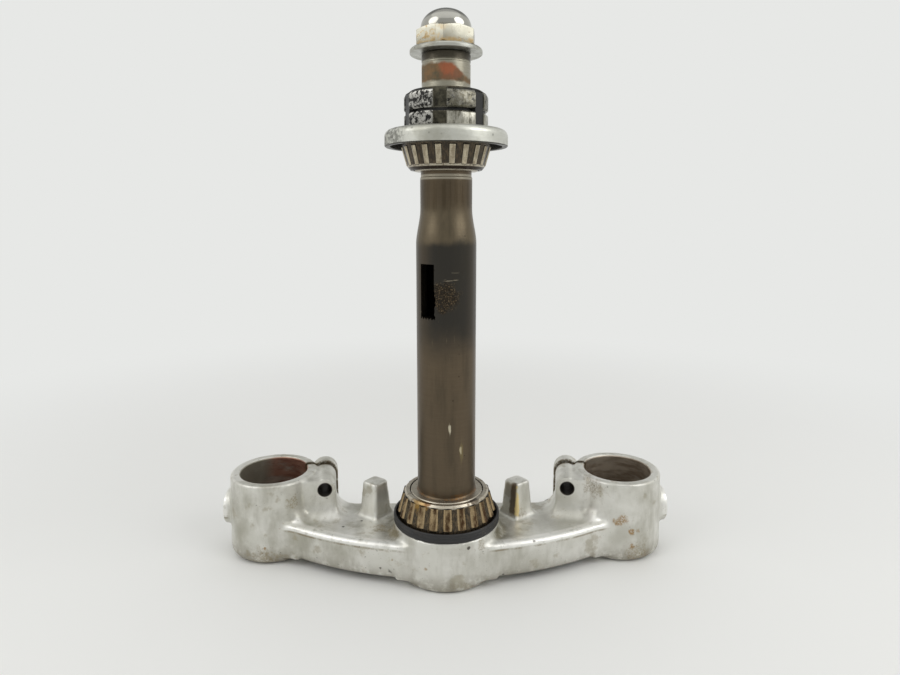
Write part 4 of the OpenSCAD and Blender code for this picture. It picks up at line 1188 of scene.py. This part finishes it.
def at_stop(make):
    """A piece on each steering stop."""
    matrix = (Matrix.Rotation(STOP_TURN, 4, "Z") @ Matrix.Translation((STOP_REACH, 0, 0))
              @ Matrix.Rotation(STOP_OWN_TURN, 4, "Z"))
    return both(lambda: place(make(), matrix))


def arm_outline():
    """The arm's plan on the right, as a block that the fillets are cut to."""
    rear = SWEEP_R - 0.0042
    plan = [(rear * math.sin(math.radians(t)), SWEEP_Y - rear * math.cos(math.radians(t)))
            for t in range(10, 42, 2)]
    plan += [(FORK.x, PINCH.y - 0.006), (PINCH.x, PINCH.y - SLIT_W), (PINCH.x - REAR_EAR_R, PINCH.y - 0.0035),
             (0.04, ARM_FRONT)]
    return prism("arm_outline", plan, ARM_TOP - 0.003, ARM_TOP + 0.02)


def ring_flare():
    """The fillet round a clamp ring, kept to the top of the arm."""
    low, high = ARM_TOP - 0.001, ARM_TOP + RING_FLARE
    foot = RING_TOP_R + RING_FLARE
    profile = [(RING_TOP_R - 0.003, low), (foot, low)] + arc(foot, high, RING_FLARE, 270, 180, 12)
    flare = place(turned("ring_flare", profile + [(RING_TOP_R - 0.003, high)]), Matrix.Translation(FORK))
    return combine(flare, arm_outline(), "INTERSECT")


def ear_flare():
    """The fillet at the foot of a rear ear, kept to the top of the arm."""
    flare = fillet_foot("ear_flare", REAR_EAR_R - 0.0004, REAR_EAR_T / 2 - 0.0002, EAR_FLARE,
                        ARM_TOP - PINCH.z)
    place(flare, pinch_matrix(1) @ Matrix.Translation((0, -REAR_EAR_T / 2, 0)))
    return combine(flare, arm_outline(), "INTERSECT")


def boss_flare():
    """The fillet round the boss, kept to the top of the arms."""
    low, high, foot = ARM_TOP - 0.001, ARM_TOP + BOSS_FLARE, SEAT_R + BOSS_FLARE
    profile = [(SEAT_R - 0.003, low), (foot, low)] + arc(foot, high, BOSS_FLARE, 270, 180, 10)
    flare = turned("boss_flare", profile + [(SEAT_R - 0.003, high)])
    combine(flare, block("arm_depth", (-0.06, -0.04, 0.0), (0.06, ARM_FRONT - 0.002, 0.06)), "INTERSECT")
    return combine(flare, drum("arm_sweep", SWEEP_R - 0.0035, 0.0, 0.06, place=(0, SWEEP_Y), steps=360),
                   "INTERSECT")


def rim_slope():
    """The gentle rise of the arms' top towards the rim along their rear edge."""
    low = ARM_TOP - 0.0015
    crest = SWEEP_R - 0.0028
    rise = ((crest, ARM_CREST - 0.0001), (crest - 0.0022, 0.02515), (crest - 0.0050, 0.02470),
            (crest - 0.0090, 0.02430), (crest - 0.0135, 0.02405))
    slope = turned("rim_slope", [(crest - 0.0135, low), (crest + 0.0003, low)] + list(rise), 360)
    place(slope, Matrix.Translation((0, SWEEP_Y, 0)))
    return combine(slope, block("rim_reach", (-0.098, -0.03, 0.02), (0.098, 0.02, 0.03)), "INTERSECT")


def blend_corners(body):
    """Softens the corners that the casting has where an arm meets its ring, its ear and the boss."""
    soft = body.vertex_groups.new(name="soft_corners")
    for v in body.data.vertices:
        at = Vector((abs(v.co.x), v.co.y, v.co.z))
        weight = max(1 - (at - corner).length / reach for corner, reach in SOFT_CORNERS)
        if weight > 0:
            soft.add([v.index], min(1, 2 * weight), "REPLACE")
    modify(body, "SMOOTH", factor=0.5, iterations=22, vertex_group="soft_corners")
    body.vertex_groups.clear()


def casting_blank(settings):
    """The casting before it is machined: the solid with its bores, slits and holes filled, edges softened."""
    body = copy_of("lower_bridge", "bridge_casting")
    low, high = (-0.012, -0.012, ARM_TOP + 0.0002), (0.012, 0.012, 0.06)
    for old_stop in at_stop(lambda: block("old_stop", low, high)):
        combine(body, old_stop)
    fill = both(ring_flare) + both(ear_flare) + [rim_slope()]
    ring = [(0, 0)] + arc(RING_FOOT_R - FOOT_ROUND, FOOT_ROUND, FOOT_ROUND, 270, 360, 8)
    ring += [(RING_TOP_R, RING_H - 0.0008), (RING_TOP_R - 0.0008, RING_H), (0, RING_H)]
    fill += both(lambda: place(turned("ring", ring, closed=False), Matrix.Translation(FORK)))
    fill.append(drum("press_fill", PRESS_R + 0.0003, 0.0, SEAT_H))
    for side in (1, -1):
        bolt = along_y(drum("bolt_fill", PINCH_HOLE_R + 0.0004, -REAR_EAR_T, FRONT_EAR_T - 0.0006))
        crown = [(REAR_EAR_R * math.cos(a), REAR_EAR_R * math.sin(a))
                 for a in [math.radians(t) for t in range(20, 181, 10)]]
        foot = [(-REAR_EAR_R, EAR_FILL_FOOT), (0.012, EAR_FILL_FOOT), (0.012, 0.005)]
        ear = prism("ear_fill", crown + foot, -SLIT_W / 2, 0.0016)
        place(ear, Matrix.Rotation(math.radians(90), 4, "X"))
        fill += [place(bolt, pinch_matrix(side)), place(ear, pinch_matrix(side))]
    fill += both(lambda: place(drum("side_fill", SIDE_THREAD_R + 0.0003, 0, 0.0075),
                               Matrix.Translation((SIDE_FACE_X - 0.00755, FORK.y, SIDE_H))
                               @ Matrix.Rotation(math.radians(90), 4, "Y")))
    fill += both(lambda: web("ring_web", Vector(FORK[:2]), RING_FOOT_R - 0.0004, settings.web_r,
                             Vector((0.09, -0.03)), ARM_FLOOR + 0.0005, ARM_CREST - 0.0003))
    fill += both(lambda: web("boss_web", Vector((0, 0)), SEAT_R - 0.0003, BOSS_WEB_R, Vector((0.03, -0.06)),
                             ARM_FLOOR + 0.0005, ARM_CREST - 0.0002))
    fill.append(boss_flare())
    foot_half = STOP_FOOT_W / 2 - 0.0003
    fill += at_stop(lambda: fillet_foot("stop_flare", foot_half, foot_half, STOP_FLARE, ARM_TOP - 0.0003))
    fill += at_stop(stop_pillar)
    body = join([body] + fill, "bridge_casting")
    modify(body, "REMESH", mode="VOXEL", voxel_size=settings.voxel, adaptivity=0.0)
    modify(body, "SMOOTH", factor=0.5, iterations=settings.softness)
    blend_corners(body)
    return body


def machining():
    """Everything that is cut into the casting, as one cutter."""
    cut = []
    bore = [(0, -0.002), (BORE_R + 0.0029, -0.002), (BORE_R, 0.0009), (BORE_R, RING_H - 0.0009),
            (BORE_R + 0.0029, RING_H + 0.002), (0, RING_H + 0.002)]
    cut += both(lambda: place(turned("bore", bore, 128, closed=False), Matrix.Translation(FORK)))
    cut.append(drum("press", PRESS_R, -0.002, SEAT_H + 0.001, steps=96))
    hole = [(0, -0.045), (PINCH_HOLE_R, -0.045), (PINCH_HOLE_R, 0.0), (PINCH_DRILL_R, 0.0),
            (PINCH_DRILL_R, 0.020), (0, 0.020)]
    for side in (1, -1):
        cut.append(place(along_y(turned("bolt", hole, 48, closed=False)), pinch_matrix(side)))
    thread = [(0, -0.007)] + [(SIDE_THREAD_R + (0.0003 if i % 2 else -0.0001), -0.007 + 0.0005 * i)
                              for i in range(13)] + [(SIDE_THREAD_R + 0.0012, 0.0008), (0, 0.0008)]
    cut += both(lambda: place(turned("side", thread, 40, closed=False),
                              Matrix.Translation((SIDE_FACE_X, FORK.y, SIDE_H))
                              @ Matrix.Rotation(math.radians(90), 4, "Y")))
    return join(cut, "machining")


class BuildBridge(bpy.types.Operator):
    """Builds the cast bridge with its machined bores, slits and holes"""
    bl_idname = "clamp.build_bridge"
    bl_label = "Bridge"

    def execute(self, context):
        settings = context.scene.clamp_bridge
        body = combine(casting_blank(settings), machining())
        slits = [place(block("slit", (-REAR_EAR_T, -SLIT_W / 2, -0.045), (0.0195, SLIT_W / 2, 0.018)),
                       pinch_matrix(side)) for side in (1, -1)]
        combine(body, join(slits, "slits"))
        smooth(clear_slivers(body), 32)
        stand_in(body, "lower_bridge", "clamp", cast_finish(settings))
        return {"FINISHED"}


class BuildStem(bpy.types.Operator):
    """Builds the hollow stem with its window for the steering lock"""
    bl_idname = "clamp.build_stem"
    bl_label = "Stem"

    def execute(self, context):
        settings = context.scene.clamp_stem
        profile = [(STEM_BORE_R, 0.0), (PRESS_R - 0.001, 0.0), (PRESS_R, 0.001), (PRESS_R, SEAT_H),
                   (LOWER_SEAT_R, SEAT_H), (LOWER_SEAT_R, LOWER_FRONT_Z), (STEM_R, LOWER_FRONT_Z + 0.0008)]
        profile += [(STEM_R, LOWER_FRONT_Z + 0.002 + 0.0048 * i) for i in range(1, 30)]
        profile += [(STEM_R, TAPER_Z - 0.003)] + [
            (STEM_R + (NECK_R - STEM_R) * (3 * t * t - 2 * t ** 3), TAPER_Z - 0.003 + (TAPER_LEN + 0.004) * t)
            for t in [i / 14 for i in range(1, 15)]]
        profile += [(NECK_R, STEP_Z - 0.0004), (NECK_R - 0.0004, STEP_Z), (UPPER_SEAT_R, STEP_Z + 0.0001),
                    (UPPER_SEAT_R, UPPER_BACK_Z), (NUT_BORE_R, UPPER_BACK_Z + 0.0005),
                    (NUT_BORE_R, LOCK_TOP_Z), (PIN_R - 0.0003, LOCK_TOP_Z),
                    (PIN_R - 0.0003, LOCK_TOP_Z + 0.0006), (PIN_R, LOCK_TOP_Z + 0.0009),
                    (PIN_R, PIN_GROOVE_Z), (PIN_R - PIN_GROOVE_D, PIN_GROOVE_Z + 0.0003),
                    (PIN_R - PIN_GROOVE_D, PIN_GROOVE_Z + 0.0010), (PIN_R, PIN_GROOVE_Z + 0.0013),
                    (PIN_R, SHOULDER_Z - 0.0008), (PIN_R - 0.0006, SHOULDER_Z), (THREAD_R, SHOULDER_Z),
                    (THREAD_R, STEM_TOP_Z - 0.001), (THREAD_R - 0.001, STEM_TOP_Z), (TOP_BORE_R, STEM_TOP_Z),
                    (TOP_BORE_R, BORE_STEP_Z + STEM_BORE_R - TOP_BORE_R), (STEM_BORE_R, BORE_STEP_Z)]
        body = turned("stem", profile, 144)
        window = block("window", (0.004, -LOCK_W / 2, LOCK_H - LOCK_LEN / 2),
                       (0.022, LOCK_W / 2, LOCK_H + LOCK_LEN / 2))
        edit(window, lambda: bpy.ops.mesh.subdivide(number_cuts=22))
        for v in window.data.vertices:
            wave = math.sin(v.co.z * 2900) + math.sin(v.co.z * 5300 + 1.7)
            wave += 0.7 * math.sin(v.co.z * 9100 + v.co.x * 900)
            eaten = max(0.0, min(1.0, (LOCK_H + 0.004 - v.co.z) / 0.008))
            if v.co.y > LOCK_W / 2 - 0.0001:
                v.co.y += settings.rag * eaten * (0.8 + 0.5 * wave)
            if v.co.z < LOCK_H - LOCK_LEN / 2 + 0.0001:
                v.co.z += settings.rag * (math.sin(v.co.y * 3100) + 0.6 * math.sin(v.co.y * 6900 + 1))
        place(window, Matrix.Rotation(math.radians(-90) - LOCK_TURN, 4, "Z"))
        combine(body, window)
        smooth(clear_slivers(body), 28)
        stand_in(body, "steering_stem", "clamp", stem_finish(settings))
        return {"FINISHED"}


class BuildSeal(bpy.types.Operator):
    """Builds the rubber dust seal"""
    bl_idname = "clamp.build_seal"
    bl_label = "Dust seal"

    def execute(self, context):
        z = SEAT_H
        profile = [(LOWER_SEAT_R, z), (SEAT_R - 0.0012, z), (SEAT_R - 0.0004, z + 0.0002),
                   (SEAT_R, z + 0.0008)]
        profile += [(SEAT_R - 0.0001, z + 0.0022), (SEAT_R - 0.0003, z + 0.0026),
                    (SEAT_R - 0.0003, z + 0.0029), (SEAT_R, z + 0.0034)]
        profile += arc(SEAT_R - 0.0007, z + 0.0048, 0.0007, 0, 90, 5)
        profile += arc(SEAT_R - 0.0009, z + 0.0050, 0.0005, 90, 180, 4)
        profile += [(SEAT_R - 0.0020, z + 0.0030), (SEAT_R - 0.0025, z + 0.0010), (LOWER_SEAT_R, z + 0.0010)]
        seal = smooth(turned("dust_seal", profile, 128), 40)
        stand_in(seal, "lower_dust_seal", "clamp", rubber_finish())
        return {"FINISHED"}


class BuildBearings(bpy.types.Operator):
    """Finishes the cones, cages and rollers of both bearings"""
    bl_idname = "clamp.build_bearings"
    bl_label = "Bearings"

    def execute(self, context):
        cone = bearing_finish("cone_steel", tone(196, 190, 176), tone(146, 136, 118), tone(96, 72, 46),
                              0.30)[0]
        low_cage = cage_finish("lower_cage_steel", tone(206, 200, 186), tone(150, 140, 120), tone(92, 66, 38),
                               LOWER_WINDOWS, tone(96, 80, 56), LOWER_CAGE_MARKS)
        high_cage = cage_finish("upper_cage_steel", tone(206, 200, 184), tone(150, 138, 116),
                                tone(84, 64, 44), UPPER_WINDOWS, tone(76, 62, 44), painted_shade_below=0.2350)
        low = roller_finish("lower_roller_steel", tone(196, 176, 140), tone(126, 102, 68), tone(62, 40, 22),
                            0.95, 0.72, 0.58)
        high = roller_finish("upper_roller_steel", tone(218, 210, 188), tone(162, 148, 120),
                             tone(84, 66, 44), 0.55, 0.88, 0.79)
        dress("lower_bearing_cone", cone)
        dress("upper_bearing_cone", cone)
        dress("lower_bearing_cage", low_cage)
        dress("upper_bearing_cage", high_cage)
        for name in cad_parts:
            if name.startswith("lower_roller"):
                dress(name, low)
            if name.startswith("upper_roller"):
                dress(name, high)
        return {"FINISHED"}


class BuildCover(bpy.types.Operator):
    """Builds the dished dust cover"""
    bl_idname = "clamp.build_cover"
    bl_label = "Dust cover"

    def execute(self, context):
        r, top, rim = COVER_R, COVER_TOP_Z, COVER_RIM_Z
        profile = [(UPPER_SEAT_R, UPPER_BACK_Z), (UPPER_SEAT_R + 0.0056, UPPER_BACK_Z)]
        profile += arc(UPPER_SEAT_R + 0.0066, top - 0.0045, 0.001, 180, 90, 4)
        profile += arc(r - 0.005, top - 0.0055, 0.002, 90, 0, 6)
        profile += [(r - 0.003, rim + 0.0003), (r - 0.0027, rim), (r - 0.0005, rim), (r, rim + 0.0005)]
        profile += arc(r - 0.0038, top - 0.0038, 0.0038, 0, 90, 12)
        profile += [(0.026, top), (0.0256, top - 0.00025), (0.0248, top - 0.00025), (0.0244, top),
                    (UPPER_SEAT_R, top)]
        cover = smooth(turned("dust_cover", profile, 160), 30)
        stand_in(cover, "upper_dust_cover", "clamp", cover_finish())
        return {"FINISHED"}


def slotted_nut(name, profile, edge):
    """A ring nut with six spanner slots and worn edges."""
    nut = turned(name, profile, 96)
    for i in range(6):
        slot = block("slot", (NUT_R - SLOT_DEPTH, -SLOT_W / 2, 0.25), (NUT_R + 0.002, SLOT_W / 2, 0.28))
        combine(nut, place(slot, Matrix.Rotation(math.radians(-90) + SLOT_TURN + i * math.pi / 3, 4, "Z")))
    modify(nut, "BEVEL", width=edge, segments=2, limit_method="ANGLE", angle_limit=math.radians(35))
    return smooth(clear_slivers(nut), 35)


class BuildRingNuts(bpy.types.Operator):
    """Builds both ring nuts and finishes the lock washer between them"""
    bl_idname = "clamp.build_ring_nuts"
    bl_label = "Ring nuts"

    def execute(self, context):
        edge = context.scene.clamp_nuts.edge
        face_r = NUT_R - NUT_CHAMFER
        low = slotted_nut("adjusting_ring", [
            (NUT_BORE_R, COVER_TOP_Z), (face_r, COVER_TOP_Z), (NUT_R, COVER_TOP_Z + NUT_CHAMFER),
            (NUT_R, ADJUST_TOP_Z - NUT_CHAMFER), (face_r, ADJUST_TOP_Z), (NUT_BORE_R, ADJUST_TOP_Z)], edge)
        high = slotted_nut("locking_ring", [
            (NUT_BORE_R, LOCK_BASE_Z), (face_r, LOCK_BASE_Z), (NUT_R, LOCK_BASE_Z + NUT_CHAMFER),
            (NUT_R, LOCK_TOP_Z - 0.0033), (face_r, LOCK_TOP_Z - 0.0016), (NUT_R - 0.0033, LOCK_TOP_Z),
            (NUT_BORE_R + 0.0008, LOCK_TOP_Z), (NUT_BORE_R, LOCK_TOP_Z - 0.0006)], edge)
        stand_in(low, "adjusting_nut", "clamp",
                 ring_nut_finish("worn_adjusting_nut", 0.22, tone(190, 187, 174)))
        stand_in(high, "lock_nut", "clamp",
                 ring_nut_finish("worn_lock_nut", 0.42, tone(124, 120, 106)))
        dress("lock_washer", black_spring_finish())
        return {"FINISHED"}


class BuildWasher(bpy.types.Operator):
    """Builds the flat washer under the cap nut"""
    bl_idname = "clamp.build_washer"
    bl_label = "Stem washer"

    def execute(self, context):
        r = WASHER_R
        profile = [(THREAD_R, SHOULDER_Z + 0.0003), (THREAD_R + 0.0004, SHOULDER_Z), (r - 0.0004, SHOULDER_Z)]
        profile += arc(r - 0.0003, SHOULDER_Z + 0.0003, 0.0003, 270, 360, 3)
        profile += [(r, CAP_Z - 0.0010), (r - 0.0003, CAP_Z - 0.0005), (r - 0.0009, CAP_Z),
                    (THREAD_R + 0.0004, CAP_Z), (THREAD_R, CAP_Z - 0.0003)]
        washer = smooth(turned("flat_washer", profile, 128), 30)
        stand_in(washer, "stem_washer", "clamp", washer_finish())
        return {"FINISHED"}


class BuildCapNut(bpy.types.Operator):
    """Builds the chromed cap nut"""
    bl_idname = "clamp.build_cap_nut"
    bl_label = "Cap nut"

    def execute(self, context):
        settings = context.scene.clamp_nuts
        deselect()
        bpy.ops.mesh.primitive_cylinder_add(vertices=6, radius=HEX_HALF / math.cos(math.pi / 6), depth=HEX_H,
                                            location=(0, 0, CAP_Z + HEX_H / 2))
        nut = bpy.context.object
        nut.name = "domed_cap_nut"
        fix_place(nut)
        place(nut, Matrix.Rotation(math.radians(-5), 4, "Z"))
        top, r = CAP_Z + HEX_H, DOME_R
        shell = turned("chamfers", [(0, CAP_Z - 0.001), (0.0136, CAP_Z - 0.001), (0.01772, CAP_Z + 0.0014),
                                    (0.01772, top - 0.002), (0.01257, top + 0.001), (0, top + 0.001)], 128,
                       closed=False)
        combine(nut, shell, "INTERSECT")
        dome = turned("dome", [(0, CAP_Z + 0.001), (r, CAP_Z + 0.001), (r, top + 0.0002)]
                      + [(r * math.cos(a), top + 0.0005 + 0.0102 * math.sin(a))
                         for a in [math.radians(90 * i / 24) for i in range(24)]] + [(0, top + DOME_RISE)],
                      128, closed=False)
        combine(nut, dome, "UNION")
        combine(nut, drum("thread_bore", THREAD_R, CAP_Z - 0.001, CAP_Z + 0.0145, steps=64))
        modify(nut, "BEVEL", width=settings.edge, segments=3, limit_method="ANGLE",
               angle_limit=math.radians(25))
        smooth(nut, 30)
        stand_in(nut, "stem_cap_nut", "clamp", chrome_finish(settings))
        return {"FINISHED"}


class BuildStage(bpy.types.Operator):
    """Builds the floor, the light and the camera"""
    bl_idname = "clamp.build_stage"
    bl_label = "Stage"

    def execute(self, context):
        settings = context.scene.clamp_stage
        self.floor(settings)
        self.world(context, settings)
        for name, power, size, at in LAMPS:
            self.lamp(name, getattr(settings, power), size, Vector(at))
        self.camera(context, settings)
        return {"FINISHED"}

    def floor(self, settings):
        """A pale floor that runs out into the backdrop without a horizon."""
        deselect()
        bpy.ops.mesh.primitive_plane_add(size=24, location=(0, 0, -0.00005))
        floor = bpy.context.object
        floor.name = "studio_floor"
        material, tree, shader, where = new_finish("studio_floor", 0.0, 0.55)
        base = tuple(settings.floor) + (1,)
        darker = tuple(0.97 * c for c in base[:3]) + (1,)
        finish_with(tree, shader, mix(tree, noise_of(tree, where, 3.0, 3), base, darker))
        far = tree.nodes.new("ShaderNodeEmission")
        far.inputs["Color"].default_value = tuple(settings.backdrop) + (1,)
        fade = remap(tree, around(tree, where), 0.20, 0.72)
        both_shaders = put(tree, "MixShader", {0: fade, 1: shader.outputs[0], 2: far.outputs[0]})
        tree.links.new(both_shaders.outputs[0], tree.nodes["Material Output"].inputs["Surface"])
        floor.data.materials.append(material)

    def world(self, context, settings):
        """A pale studio: bright behind the object, dim overhead and dark behind the camera."""
        world = bpy.data.worlds.new("studio")
        context.scene.world = world
        world.use_nodes = True
        tree = world.node_tree
        parts = axes_of(tree, put(tree, "TexCoord").outputs["Generated"])
        back = times(tree, remap(tree, parts[1], -0.15, 0.75), 0.36)
        front = times(tree, remap(tree, parts[1], -0.15, -0.85), 0.10)
        high = times(tree, remap(tree, parts[2], 0.30, 0.95), 0.16)
        level = minus(tree, plus(tree, 0.55, back), plus(tree, front, high), clamp=True)
        light = put(tree, "CombineColor", {0: level, 1: level, 2: times(tree, level, 0.98)}).outputs[0]
        # Metal reflects the backdrop, dimmer from the camera's side and from the dark ceiling behind.
        ray = put(tree, "LightPath").outputs
        ceiling = vectors(tree, "DOT_PRODUCT", put(tree, "TexCoord").outputs["Generated"], CEILING)
        overhead = times(tree, remap(tree, ceiling, 0.80, 0.95), 0.66)
        gloss = minus(tree, 1.01, plus(tree, times(tree, front, 2.4), overhead), clamp=True)
        gloss = put(tree, "CombineColor", {0: gloss, 1: gloss, 2: gloss}).outputs[0]
        studio = mix(tree, 1.0, tuple(settings.backdrop) + (1,), gloss, "MULTIPLY")
        mirrored = most(tree, ray["Is Glossy Ray"], ray["Is Transmission Ray"])
        shown = mix(tree, mirrored, light, studio)
        shown = mix(tree, ray["Is Camera Ray"], shown, tuple(settings.backdrop) + (1,))
        tree.links.new(shown, tree.nodes["Background"].inputs["Color"])

    def lamp(self, name, power, size, at):
        """A round soft lamp aimed at the object."""
        lamp = bpy.data.lights.new(name, "AREA")
        lamp.energy = power
        lamp.shape = "DISK"
        lamp.size = size
        obj = linked(name, lamp)
        obj.location = at
        obj.rotation_euler = (Vector((0, 0, 0.1)) - at).to_track_quat("-Z", "Y").to_euler()

    def camera(self, context, settings):
        """The photograph's camera."""
        data = bpy.data.cameras.new("photo_camera")
        data.lens = settings.lens
        data.sensor_width = 36.0
        data.sensor_fit = "HORIZONTAL"
        data.shift_y = CAMERA_SHIFT
        data.clip_start = 0.01
        data.clip_end = 50
        camera = linked("photo_camera", data)
        camera.location = CAMERA_AT
        camera.rotation_euler = CAMERA_TURN
        context.scene.camera = camera
        context.scene.view_settings.view_transform = "Standard"


class ClampPanel(bpy.types.Panel):
    """Lists the pieces of the triple clamp"""
    bl_idname = "VIEW3D_PT_triple_clamp"
    bl_label = "Triple clamp"
    bl_space_type = "VIEW_3D"
    bl_region_type = "UI"
    bl_category = "Triple clamp"

    def draw(self, context):
        layout = self.layout
        for settings, operators in PANEL_ROWS:
            box = layout.box()
            group_settings = getattr(context.scene, settings)
            for key in group_settings.__annotations__:
                box.prop(group_settings, key)
            for operator in operators:
                box.operator(operator)


PANEL_ROWS = (
    ("clamp_bridge", ("clamp.build_bridge",)),
    ("clamp_stem", ("clamp.build_stem", "clamp.build_seal", "clamp.build_bearings")),
    ("clamp_nuts", ("clamp.build_cover", "clamp.build_ring_nuts", "clamp.build_washer",
                    "clamp.build_cap_nut")),
    ("clamp_stage", ("clamp.build_stage",)),
)
SETTINGS = {"clamp_bridge": BridgeSettings, "clamp_stem": StemSettings, "clamp_nuts": NutSettings,
            "clamp_stage": StageSettings}
CLASSES = (BridgeSettings, StemSettings, NutSettings, StageSettings, BuildBridge, BuildStem, BuildSeal,
           BuildBearings, BuildCover, BuildRingNuts, BuildWasher, BuildCapNut, BuildStage, ClampPanel)


def register():
    """Adds the add-on's classes and the scene's settings."""
    for made in CLASSES:
        bpy.utils.register_class(made)
    for name, kind in SETTINGS.items():
        setattr(bpy.types.Scene, name, PointerProperty(type=kind))


def unregister():
    """Takes the settings and the classes away again."""
    for name in SETTINGS:
        delattr(bpy.types.Scene, name)
    for made in reversed(CLASSES):
        bpy.utils.unregister_class(made)


def main():
    """Builds every piece in order."""
    register()
    for _, operators in PANEL_ROWS:
        for operator in operators:
            folder, name = operator.split(".")
            getattr(getattr(bpy.ops, folder), name)()


if __name__ == "__main__":
    main()
